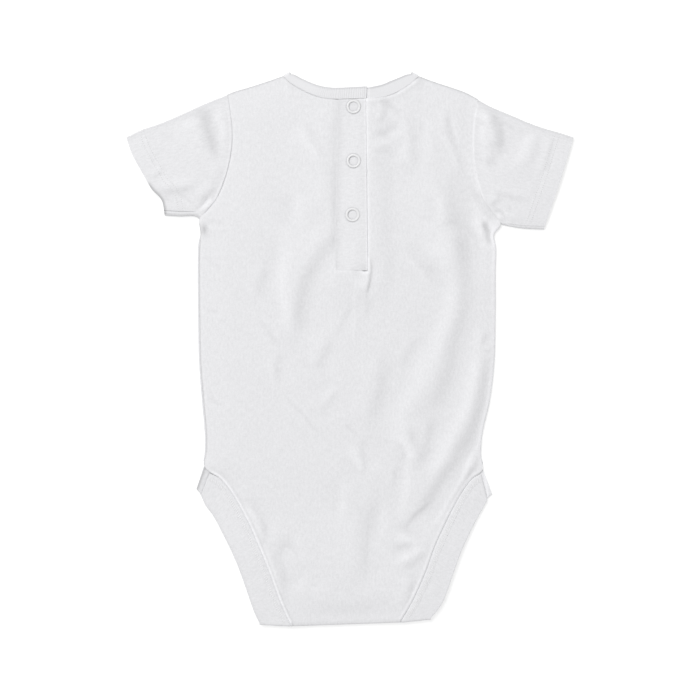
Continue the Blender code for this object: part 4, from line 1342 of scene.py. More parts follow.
@dataclass
class DoubledStrip:
    """Strip of cloth folded along its free edge, sewn in along its other edge.

    Each row holds a seam point and a free point, in the middle of the strip's thickness, and the
    direction that faces out of the garment there.
    """

    node: str
    rows: Grid
    thickness: float
    wall: float = FOLDED_WALL
    top_steps: int = 14
    under_steps: int = 6
    fold_steps: int = 6
    flipped: bool = False

    def __post_init__(self) -> None:
        """Work out the points, the cloth places, the distance from the seam and the outer layer."""
        seam, free, self.outward = self.rows[:, 0:3], self.rows[:, 3:6], self.rows[:, 6:9]
        radius = (self.thickness - self.wall) / 2.0
        across, push, height = self.cross(radius)
        self.width = np.linalg.norm(free - seam, axis=1)
        reach = np.maximum(self.width - radius - self.wall / 2.0, 0.1)
        self.away = across[None, :] * reach[:, None] + push[None, :]
        direction = (free - seam) / self.width[:, None]
        self.points = (seam[:, None, :] + direction[:, None, :] * self.away[:, :, None]
                       + self.outward[:, None, :] * height[None, :, None])
        run = along((seam + free) / 2.0)
        ring = np.cumsum(np.linalg.norm(np.diff(self.points, axis=1), axis=2).mean(axis=0))
        ring = np.concatenate(([0.0], ring))
        self.weave = np.stack(np.broadcast_arrays(run[:, None], ring[None, :]), axis=-1)
        self.outer = np.clip(height / radius, 0.0, 1.0)[None, :] * np.ones((len(run), 1))

    def cross(self, radius: float) -> tuple[Grid, Grid, Grid]:
        """Cross-section of the strip.

        Args:
            radius: Half of the distance between the middles of its two layers.

        Returns:
            Share across, push past the fold's centre, and height, for each point.
        """
        top = shares(self.top_steps, fine_start=True)
        under = np.linspace(1.0, 0.0, self.under_steps + 1)
        angles = np.linspace(90.0, -90.0, self.fold_steps + 1)[1:-1] * math.pi / 180.0
        across = np.concatenate([top, np.ones(len(angles)), under])
        push = np.concatenate([np.zeros(len(top)), radius * np.cos(angles), np.zeros(len(under))])
        height = np.concatenate([np.full(len(top), radius), radius * np.sin(angles),
                                 np.full(len(under), -radius)])
        return across, push, height

    def build(self, material: Material, slot: Slot, relief: Grid | float = 0.0,
              hollow: Grid | None = None) -> Object:
        """Make the strip.

        Args:
            material: Finish of the cloth.
            slot: Record slot of the finish.
            relief: Rise of every point along the outward direction, in millimetres.
            hollow: Painted shade of every point, from -1 to 1; below zero it is painted light.

        Returns:
            The finished piece.
        """
        rise = np.broadcast_to(relief, self.away.shape)[:, :, None]
        points = self.points + self.outward[:, None, :] * rise
        cloth = Cloth(self.node, points, self.weave, self.wall, hollow, flipped=self.flipped)
        return cloth.build(material, slot)


@dataclass
class Placket:
    """Back placket: the upper strip with its free edge, and the lower strip under it."""

    thickness: float = 1.4
    top: float = 175.3
    rings: tuple[str, ...] = ("snap_ring_1", "snap_ring_2", "snap_ring_3")
    fine_row: float = 0.5           # rows near a ring or an end of the strips
    plain_row: float = 1.4
    ring_reach: float = 6.6
    press: tuple[Welt, ...] = (Welt(-0.1, 5.1, 0.5), Welt(-0.08, 3.0, 0.4))     # cloth pressed by a ring
    # painted shadow round the outer and inner foot of each ring cap
    ring_painted_shade: tuple[Welt, ...] = (Welt(1.8, 5.05, 0.4), Welt(1.5, 3.15, 0.4))
    free_groove: Welt = Welt(-0.06, 1.9, 0.45)
    top_groove: Welt = Welt(-0.12, 0.0, 0.8)
    tuck: Welt = Welt(-0.5, 0.0, 3.2)       # dip at the strips' lower end
    # painted light along the free edge, the top and the foot; painted shade just above the tuck and along
    # the left seam
    free_painted_light: Welt = Welt(-1.6, 0.0, 0.9)
    top_painted_light: Welt = Welt(-0.8, 0.0, 0.6)
    foot_painted_light: Welt = Welt(-0.6, 0.0, 0.6)
    tuck_painted_shade: Welt = Welt(0.5, 3.0, 2.0)
    seam_painted_shading: Welt = Welt(0.55, 0.0, 3.2)
    layer_space: float = 0.28       # between the two layers of the upper strip

    def __post_init__(self) -> None:
        """Find the rings, and place the strips' rows closer together round them."""
        corners = [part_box(name) for name in self.rings]
        self.centres = [(low + high) / 2.0 / MM for low, high in corners]
        heights = [(low.y + high.y) / 2.0 / MM for low, high in corners]
        places = [self.top]
        while places[-1] > SLIT_END + 1.2:
            near = min(abs(places[-1] - height) for height in heights)
            edge = min(places[-1] - SLIT_END, self.top - places[-1])
            fine = near < self.ring_reach or edge < 2.0
            places.append(places[-1] - (self.fine_row if fine else self.plain_row))
        places[-1] = SLIT_END + HAIR_GAP
        self.y = np.array(places)

    def stations(self, seam: Grid, free: Grid, level: float) -> Grid:
        """Rows of a strip that ends at the neck seam.

        Args:
            seam: Place across of its sewn edge in every row.
            free: Place across of its folded edge in every row.
            level: Middle of its thickness.

        Returns:
            The rows that a doubled strip takes.
        """
        neck = Line(NECK_SEAM)
        share = (self.y - SLIT_END) / (self.top - SLIT_END)
        edges = [np.column_stack([x, self.y + (neck.height(x) - SEAM_GAP - self.top) * share,
                                  np.full(len(x), level)]) for x in (seam, free)]
        return np.hstack([*edges, np.tile(UP, (len(seam), 1))])

    def ring_gap(self, x: Grid, y: Grid) -> Grid:
        """Distance of plan places to the middle of the nearest ring."""
        return np.min([np.hypot(x - centre.x, y - centre.y) for centre in self.centres], axis=0)

    def upper(self) -> tuple[DoubledStrip, Grid, Grid]:
        """Shape the upper strip, pressed in round its rings and sunk to its seams.

        Returns:
            The strip, its relief and its painted shading.
        """
        rows = self.stations(slit_left(self.y) + HAIR_GAP, strip_edge(self.y), OVER_STRIP_LEVEL)
        strip = DoubledStrip("placket_over", rows, self.thickness, top_steps=40)
        x, y, away, outer = strip.points[..., 0], strip.points[..., 1], strip.away, strip.outer
        to_edge = (rows[:, 3] - rows[:, 0])[:, None] - away
        gap = self.ring_gap(x, y)
        beside = 1.0 - ease(away / 16.0)
        relief = welts(gap, *self.press) - strip_drop(y) * beside * above(y, SLIT_END, 20.0)
        relief += fold_height(BODY_FOLDS, slit_left(self.y), self.y)[:, None] * beside
        relief += welts(to_edge, self.free_groove) + welts(y - self.top, self.top_groove)
        relief += welts(y - SLIT_END, self.tuck) * above(x, -2.0, 16.0)
        relief += 0.1 * ripple(x, y, 31, 22.0)
        # the inner layer gives way where the outer one sinks by more than the space between them
        relief = lerp(np.minimum(relief + self.layer_space, 0.0), relief, outer)
        # painted shadow round each ring and painted shade inside it, painted light along the free edge, top
        # and foot, painted shade just above the tuck and along the left seam
        painted_shading = welts(gap, *self.ring_painted_shade) + 0.2 * (gap < 2.7)
        painted_shading += welts(to_edge, self.free_painted_light) + welts(y - self.top, self.top_painted_light)
        painted_shading += welts(y - SLIT_END, self.foot_painted_light) * (1.0 - above(x, -3.0, 6.0))
        painted_shading += welts(y - SLIT_END, self.tuck_painted_shade) * above(x, 1.0, 12.0)
        return strip, relief, painted_shading * outer + welts(away, self.seam_painted_shading) * np.minimum(outer * 3.0, 1.0)

    def build(self, finishes: Finishes) -> tuple[Object, Object]:
        """Make both strips.

        Args:
            finishes: The garment's finishes.

        Returns:
            The upper and the lower strip.
        """
        strip, relief, painted_shading = self.upper()
        upper = strip.build(finishes.jersey, Slot.JERSEY, relief, painted_shading)
        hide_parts("placket_over")
        sewn = np.full(len(self.y), SLIT_RIGHT - SEAM_GAP)
        rows = self.stations(sewn, np.full(len(self.y), UNDER_STRIP_LEFT), UNDER_STRIP_LEVEL)
        strip = DoubledStrip("placket_under", rows, self.thickness, flipped=True)
        lower = strip.build(finishes.jersey, Slot.JERSEY)
        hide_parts("placket_under")
        return upper, lower


@dataclass(frozen=True)
class BandPlan:
    """Plan of a leg band, from the hip to the crotch.

    Its seam starts at the head's points and goes on along the body panel's leg cut.
    """

    head: Path
    edge: Path


BACK_BANDS = {
    Side.LEFT: BandPlan(
        head=((-98.2, -86.2), (-90.3, -90.5)),
        edge=((-104.2, -101.4), (-100.8, -108.9), (-95.0, -116.9), (-87.4, -131.3), (-80.6, -145.5),
              (-74.5, -161.3), (-67.8, -180.8), (-63.4, -190.6)),
    ),
    Side.RIGHT: BandPlan(
        head=((91.2, -86.6), (84.7, -90.9)),
        edge=((96.0, -104.8), (92.9, -110.6), (88.4, -118.6), (83.0, -129.2), (77.2, -142.0),
              (71.6, -157.6), (64.8, -176.0), (56.6, -187.0)),
    ),
}
FRONT_BANDS = {
    Side.LEFT: BandPlan(
        head=((-102.1, -80.9),),
        edge=((-107.4, -97.2), (-103.4, -102.8), (-91.0, -120.0), (-78.5, -138.5), (-69.5, -157.5),
              (-63.5, -178.0)),
    ),
    Side.RIGHT: BandPlan(
        head=((92.9, -83.2),),
        edge=((99.4, -100.9), (94.6, -105.8), (83.0, -121.5), (72.5, -138.5), (64.5, -157.0),
              (58.0, -178.0)),
    ),
}


def band_rows(side: Side, plan: BandPlan, cut: tuple[Section, ...], step: float) -> Grid:
    """Smooth stations of a leg band.

    Args:
        side: Side of the garment.
        plan: Head and outer edge of the band.
        cut: Leg sections of the panel that carries it.
        step: Distance between two stations.

    Returns:
        A row for each station, of its seam point and its outer point.
    """
    seam = [*plan.head, *(item.end(side) for item in cut[len(plan.head) - len(plan.edge):])]
    table = np.hstack([np.array(seam), np.array(plan.edge)])
    gaps = np.linalg.norm(np.diff(table[:, 2:], axis=0), axis=1)
    stations = []
    for index, gap in enumerate(gaps):
        count = max(2, round(gap / step))
        stations.extend(index + np.arange(count) / count)
    return spline_rows(table, np.array([*stations, len(gaps)], float))


@dataclass(frozen=True)
class TabPaintedShading:
    """Painted shading of the end of a front band that shows beside the hip: an even part, and lines across;
    painted shade above zero, painted light below.
    """

    plain: float
    across: Point
    lines: tuple[Welt, ...]


# painted shade on the left tab with painted shadow lines across it, painted light on the right tab
TAB_PAINTED_SHADING = {
    Side.LEFT: TabPaintedShading(0.2, (0.936, -0.35), (Welt(3.0, -66.0, 0.9), Welt(2.4, -61.4, 0.8))),
    Side.RIGHT: TabPaintedShading(-0.4, (0.991, 0.132), (Welt(-1.2, 82.0, 0.8),)),
}


@dataclass
class LegBand:
    """Doubled leg band, coverstitched beside the body seam."""

    side: Side
    thickness: float = 1.2
    seam_groove: Welt = Welt(-0.35, 0.0, 0.4)
    swell: tuple[float, float] = (0.12, 0.06)       # slow and quick unevenness of the band
    front_step: float = 0.9
    front_gap: float = 0.3          # between the front panel and its band
    front_sink: float = 0.9         # thickness of the front band that rests level with the panel
    tab_rise: float = 0.5           # rise of the right front band's tab
    flap_gap: float = 0.45          # between the turned-under end and its band
    flap_rows: int = 20

    def __post_init__(self) -> None:
        """Name the side, and set its painted shading: painted shade at the seam and rim on the left, painted
        light on the right.
        """
        self.label = self.side.name.lower()
        left = self.side is Side.LEFT
        self.seam_painted_shading = Welt(0.5 if left else -0.2, 0.0, 0.6)
        self.rim_painted_shading = Welt(0.6 if left else -0.5, 0.0, 0.9)

    def strip(self, node: str, seam: Grid, free: Grid, levels: tuple[Grid, Grid],
              turn: Grid | None = None) -> DoubledStrip:
        """Band between two plan lines.

        Args:
            node: Node that it stands for.
            seam: Plan points of its seam.
            free: Plan points of its outer edge.
            levels: Levels of the seam and of the outer edge.
            turn: More rows after these, where the band turns under.

        Returns:
            The strip.
        """
        rows = np.column_stack([seam, levels[0], free, levels[1], np.tile(UP, (len(seam), 1))])
        if turn is not None:
            rows = np.concatenate([rows, turn])
        return DoubledStrip(node, rows, self.thickness, flipped=self.side is Side.LEFT)

    def turned_rows(self, seam: Grid, free: Grid) -> Grid:
        """Rows round the crotch fold and back up beside the turned-under end.

        Args:
            seam: Last point of the seam.
            free: Last point of the outer edge.

        Returns:
            The rows that a doubled strip takes.
        """
        rows = []
        for angle in CROTCH_ANGLES:
            turn = np.array([0.0, -math.sin(angle), math.cos(angle)])
            drop = CROTCH_RADIUS * (turn - UP)
            rows.append([*(seam + drop), *(free + drop), *turn])
        inner = self.side.value * (FLAP_HALF + self.flap_gap)
        outer = inner + self.side.value * FLAP_BAND
        for share in np.linspace(0.0, 1.0, self.flap_rows):
            row = []
            for start, end in ((seam, inner), (free, outer)):
                row += [lerp(start[0], end, ease(share)), lerp(start[1], FLAP_END, share)]
                row.append(CROTCH_FLAP_LEVEL)
            rows.append([*row, 0.0, 0.0, -1.0])
        return np.array(rows)

    def build_back(self, finishes: Finishes) -> Object:
        """Make the back's band, which turns round the crotch fold and runs up beside the flap.

        Args:
            finishes: The garment's finishes.

        Returns:
            The finished piece.
        """
        rows = band_rows(self.side, BACK_BANDS[self.side], BACK_LEG_SECTIONS, ROW_STEP)
        seam, free = rows[:, :2], rows[:, 2:]
        seam = lerp(seam, free, SEAM_GAP / np.linalg.norm(free - seam, axis=1)[:, None])
        levels = tuple(edge_level(lerp(rows[:, 1], plan[:, 1], 0.25)) for plan in (seam, free))
        levels[0][-1] = levels[1][-1] = CROTCH_BACK_LEVEL
        turn = self.turned_rows(*(np.append(plan[-1], CROTCH_BACK_LEVEL) for plan in (seam, free)))
        strip = self.strip(f"band_back_{self.label}", seam, free, levels, turn)
        x, y, away = strip.points[..., 0], strip.points[..., 1], strip.away
        relief = welts(away, self.seam_groove)
        relief += self.swell[0] * ripple(x, y, 40 + self.side.value, 17.0) * above(away, 4.0, 4.0)
        relief += self.swell[1] * ripple(x, y, 60 + self.side.value, 6.0)
        # painted shade beside the seam and along the outer rim on the left band, painted light on the right
        painted_shading = welts(away, self.seam_painted_shading) + welts(away - away.max(axis=1)[:, None], self.rim_painted_shading)
        piece = strip.build(finishes.jersey, Slot.JERSEY, relief * strip.outer, painted_shading * strip.outer)
        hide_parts(f"band_back_{self.label}")
        return piece

    def build_front(self, finishes: Finishes) -> Object:
        """Make the front's band, flat beside the front panel's leg cut.

        Args:
            finishes: The garment's finishes.

        Returns:
            The finished piece.
        """
        rows = band_rows(self.side, FRONT_BANDS[self.side], FRONT_LEG_SECTIONS, self.front_step)
        seam, free = rows[:, :2], rows[:, 2:]
        seam = lerp(seam, free, self.front_gap / np.linalg.norm(free - seam, axis=1)[:, None])
        lift = (self.thickness - self.front_sink) / 2.0
        if self.side is Side.RIGHT:
            lift = lift + self.tab_rise * above(seam[:, 1], -112.0, 16.0)
        levels = (front_level(seam[:, 1]) + lift, front_level(free[:, 1]) + lift)
        strip = self.strip(f"band_front_{self.label}", seam, free, levels)
        tab = TAB_PAINTED_SHADING[self.side]
        # painted shade on the left tab with painted shadow lines across it, painted light on the right tab
        painted_shading = tab.plain + welts(strip.points[..., :2] @ np.array(tab.across), *tab.lines)
        piece = strip.build(finishes.jersey, Slot.JERSEY, hollow=painted_shading * np.minimum(strip.outer * 3.0, 1.0))
        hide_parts(f"band_front_{self.label}")
        return piece


@dataclass(frozen=True)
class RibSection:
    """Station of the neck rib: seam place, free edge and the level of its plain inside."""

    seam_x: float
    free: Point
    inside: float


RIB_BACK_LEFT = (
    RibSection(11.2, (11.8, 184.2), 4.5),
    RibSection(-8.1, (-7.2, 183.2), 4.5),
    RibSection(-15.9, (-14.2, 183.4), 4.2),
    RibSection(-23.6, (-21.0, 184.6), 3.8),
    RibSection(-31.4, (-27.8, 187.0), 3.3),
    RibSection(-39.2, (-34.7, 190.2), 2.8),
    RibSection(-43.0, (-38.4, 192.2), 2.6),
)
RIB_FRONT = (
    RibSection(-39.2, (-32.0, 167.3), 1.9),
    RibSection(-31.4, (-25.2, 156.6), 1.9),
    RibSection(-23.6, (-19.0, 150.8), 1.9),
    RibSection(-15.9, (-13.0, 147.2), 1.9),
    RibSection(-8.1, (-6.9, 145.2), 1.9),
    RibSection(-2.3, (-2.1, 144.7), 1.9),
    RibSection(3.5, (3.2, 144.7), 1.9),
    RibSection(9.3, (8.1, 145.2), 1.9),
    RibSection(17.3, (14.7, 147.3), 1.9),
    RibSection(25.4, (20.6, 150.9), 1.9),
    RibSection(32.6, (26.6, 156.7), 1.9),
    RibSection(39.8, (32.6, 167.3), 1.9),
)
RIB_BACK_RIGHT = (
    RibSection(44.0, (39.4, 192.4), 2.5),
    RibSection(39.8, (34.9, 190.6), 2.6),
    RibSection(32.6, (28.4, 188.0), 2.8),
    RibSection(25.4, (22.4, 185.5), 3.1),
    RibSection(17.3, (16.0, 184.0), 3.5),
    RibSection(14.0, (13.9, 183.6), 3.6),
    RibSection(11.4, (11.6, 183.4), 2.9),
    RibSection(9.3, (9.4, 183.4), 2.6),
    RibSection(-6.0, (-5.6, 182.8), 2.4),
)
RIB_FOLD_LEFT = ((-45.6, 190.6), (-41.0, 192.6))
RIB_FOLD_RIGHT = ((46.9, 190.6), (42.2, 192.6))
RIB_FOLD_INSIDE = (2.5, 1.9)


@dataclass
class NeckRib:
    """Doubled 1x1 rib round the neck, its ends lapped at the placket."""

    node: str = "neck_rib"
    thickness: float = 1.6
    wall: float = 0.6
    pitch: float = 1.4              # distance between two ribs
    samples: int = 5                # stations to each rib
    rise: float = 0.2               # how far a rib stands over its groove
    crown: float = 0.15             # how far the band swells between its seam and its fold
    fold_steps: int = 10

    def plain(self, sections: tuple[RibSection, ...], neck: Path, facing: float) -> Grid:
        """Stations of one layer.

        Args:
            sections: Sections of the rib along the layer.
            neck: Neck seam that it follows.
            facing: 1 where its outer side faces up, -1 where it faces down.

        Returns:
            The rows that a doubled strip takes.
        """
        line = Line(neck)
        rows = []
        for item in sections:
            seam = np.array([item.seam_x, line.height(item.seam_x)])
            free = np.array(item.free)
            seam += (free - seam) / np.linalg.norm(free - seam) * SEAM_GAP
            middle = item.inside + facing * self.thickness / 2.0
            rows.append([*seam, middle, *free, middle, 0.0, 0.0, facing])
        return np.array(rows)

    def folded(self, line: Path, start: float, end: float) -> Grid:
        """Stations round a shoulder fold, from one layer to the other.

        Args:
            line: Seam point and free point of the fold.
            start: Level of the plain inside where the fold begins.
            end: Level of the plain inside where it ends.

        Returns:
            The rows that a doubled strip takes.
        """
        seam, free = np.array(line[0]), np.array(line[1])
        over = (free - seam) / np.linalg.norm(free - seam)
        outward = np.array([-over[1], over[0]])
        outward *= math.copysign(1.0, outward[1])
        facing = math.copysign(1.0, start - end)
        reach = abs(start - end) / 2.0 + self.thickness / 2.0
        rows = []
        for angle in np.linspace(0.0, math.pi, self.fold_steps + 1):
            push = outward * reach * math.sin(angle)
            level = (start + end) / 2.0 + facing * reach * math.cos(angle)
            face = (*(outward * math.sin(angle)), facing * math.cos(angle))
            rows.append([*(seam + push), level, *(free + push), level, *face])
        return np.array(rows)

    def stations(self) -> tuple[Grid, Grid]:
        """Set stations round the neck, a few to each rib, from the upper end to the lower end.

        Returns:
            The rows that a doubled strip takes, and the distance run at each.
        """
        back, front = RIB_FOLD_INSIDE
        rows = np.concatenate([
            self.plain(RIB_BACK_LEFT, NECK_SEAM, 1.0),
            self.folded(RIB_FOLD_LEFT, back, front),
            self.plain(RIB_FRONT, FRONT_NECK_SEAM, -1.0),
            self.folded(RIB_FOLD_RIGHT, front, back),
            self.plain(RIB_BACK_RIGHT, NECK_SEAM, 1.0),
        ])
        marks = along((rows[:, 0:3] + rows[:, 3:6]) / 2.0)
        count = round(marks[-1] / (self.pitch / self.samples))
        run = np.linspace(0.0, marks[-1], count + 1)
        dense = spline_rows(rows, np.interp(run, marks, np.arange(len(rows))))
        dense[:, 6:9] /= np.linalg.norm(dense[:, 6:9], axis=1)[:, None]
        return dense, run

    def build(self, finishes: Finishes) -> Object:
        """Make the rib, with its raised ribs on the outer layer.

        Args:
            finishes: The garment's finishes.

        Returns:
            The finished piece.
        """
        rows, run = self.stations()
        strip = DoubledStrip(self.node, rows, self.thickness, self.wall, top_steps=9, under_steps=4,
                             flipped=True)
        away, width, run = strip.away, strip.width[:, None], run[:, None]
        x = rows[:, :1]
        groove = 0.5 - 0.5 * np.cos(run / self.pitch * math.tau)
        ribs = 0.2 + 0.8 * above(x, -30.0, 12.0) * below(x, 13.0, 3.0)
        relief = -groove * self.rise * ribs
        relief = relief + self.crown * np.sin(np.clip(away / width, 0.0, 1.0) * math.pi) ** 0.5
        relief -= 0.6 * (1.0 - ease(run / 2.8))
        # painted shade in the rib grooves and at the folded edge, painted light at the upper lapped end
        # where its step casts shade, painted shade along the seam on the left and painted light on the right
        painted_shading = groove * 0.3 * ribs - 0.05 - 1.1 * (1.0 - ease(run / 2.6))
        painted_shading = painted_shading + (0.3 - 0.6 * above(x, -12.0, 8.0)) * bell(away, 0.6)
        painted_shading += (1.8 + above(x, 11.0, 8.0)) * bell(width - away, 1.0)
        piece = strip.build(finishes.rib, Slot.RIB, relief * strip.outer, painted_shading * strip.outer)
        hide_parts("neck_rib")
        return piece


# ---- Sleeves ----

@dataclass(frozen=True)
class SleeveOutline:
    """Upper fold, cuff and lower fold of a sleeve, outwards or from top to bottom."""

    top: Path
    cuff: Path
    bottom: Path


SLEEVE_OUTLINES = {
    Side.LEFT: SleeveOutline(
        top=((-85.8, 178.3), (-95.2, 174.7), (-103.6, 171.2), (-112.0, 167.4), (-120.4, 163.6),
             (-128.8, 160.0), (-137.2, 156.8), (-145.6, 154.0), (-156.4, 148.8)),
        cuff=((-156.4, 148.8), (-152.6, 137.6), (-148.2, 129.2), (-143.4, 120.8), (-138.6, 112.4),
              (-131.6, 104.6), (-129.6, 94.0)),
        bottom=((-105.2, 91.6), (-109.6, 93.6), (-119.0, 93.4), (-129.6, 94.0)),
    ),
    Side.RIGHT: SleeveOutline(
        top=((89.6, 174.9), (98.0, 170.3), (106.4, 166.7), (114.8, 163.2), (123.2, 159.6),
             (131.6, 156.4), (140.0, 153.8), (148.4, 151.4), (156.4, 148.7)),
        cuff=((156.4, 148.7), (152.6, 136.6), (149.4, 126.0), (145.8, 114.8), (141.4, 102.0),
              (135.4, 84.3)),
        bottom=((105.3, 88.2), (109.4, 87.0), (121.0, 85.0), (135.4, 84.3)),
    ),
}
SLEEVE_FOLDS = {
    Side.LEFT: (
        Fold(-0.8, 6.5, ((-108, 184), (-104, 170), (-100, 159), (-97, 148), (-94, 137), (-91, 124))),
        Roll(-0.26, 3.6, ((-107, 178), (-104, 166), (-101, 155), (-98, 144), (-95, 134), (-92, 120))),
        Roll(0.14, 3.0, ((-98, 174), (-95, 162), (-92, 150), (-90, 138), (-90, 124))),
        Roll(0.08, 8.0, ((-126, 164), (-120, 150), (-113, 138), (-107, 126))),
        Roll(-0.32, 2.6, ((-103, 115), (-112, 114), (-120, 112), (-128, 111), (-138, 113))),
        Roll(0.1, 2.4, ((-104, 120), (-114, 120), (-126, 118), (-136, 120))),
        Fold(-0.45, 1.5, ((-121, 110), (-116, 107), (-112, 104), (-107, 100))),
        Roll(-0.35, 1.7, ((-93, 115), (-100, 109), (-107, 104))),
        Fold(-0.25, 1.5, ((-131, 106), (-126, 104), (-121, 102))),
        Roll(-0.3, 1.1, ((-130, 126), (-135, 123), (-140, 120))),
        # leaf-shaped fold under the arm
        Fold(-0.7, 1.4, ((-110, 96.5), (-105.5, 98.8), (-102, 102.5), (-97.5, 107.5)), taper=0.2),
        Fold(0.9, 1.8, ((-107, 94.5), (-103, 97.5), (-99.5, 101.5), (-96, 106)), taper=0.2),
    ),
    Side.RIGHT: (
        Roll(-0.3, 2.8, ((97, 175), (99, 168), (99, 162), (97, 156))),
        Roll(-0.2, 3.6, ((99, 162), (101, 154), (103, 146), (104, 139), (105, 132))),
        Roll(-0.2, 2.6, ((107, 162), (106, 153), (106, 142))),
        Roll(-0.24, 5.5, ((100, 180), (102, 160), (104, 148), (103, 132))),
        Roll(-0.24, 2.4, ((103, 136), (98, 133), (93, 130))),
        Roll(0.08, 3.0, ((93, 174), (92, 158), (92, 145), (93, 131))),
        Roll(0.18, 3.2, ((129, 158), (123, 148), (119, 140), (114, 131), (109, 123))),
        Roll(-0.12, 3.0, ((135, 154), (130, 144), (126, 134), (121, 124))),
        Roll(-0.35, 1.3, ((142.5, 154), (140.5, 146), (138.5, 138), (136, 128), (133, 118))),
        Fold(-0.2, 1.3, ((142, 152), (138, 138), (133, 121), (128, 104), (125, 95))),
        Roll(-0.28, 1.7, ((129, 104), (119, 106.5), (111, 108.5), (104, 110), (98, 106))),
        Roll(-0.35, 1.5, ((105, 108), (101, 104), (97, 100))),
        Roll(0.2, 2.0, ((116, 98), (112, 96), (108, 99))),
        # leaf-shaped fold under the arm
        Fold(-0.9, 1.4, ((100, 97.5), (104.5, 97), (107.5, 94), (109.3, 90), (108, 87)), taper=0.2),
        Fold(0.7, 1.8, ((101.5, 95), (104.5, 92.5), (106, 89.5))),
    ),
}
SLEEVE_SHADES = {       # painted shade of the wide soft hollow beside each armhole
    Side.LEFT: Fold(0.75, 6.0, ((-113, 182), (-106, 168), (-101, 156), (-97, 145), (-93, 132)), taper=0.25),
    Side.RIGHT: Fold(0.5, 5.0, ((98, 180), (101, 164), (103, 150), (103, 134)), taper=0.25),
}
HEM_ROWS = (10.0, 13.1)     # twin-needle rows, from the cuff
UNDERARM_SEAMS = {Side.LEFT: 3.5, Side.RIGHT: 2.1}  # seam on the upper layer, above the lower fold


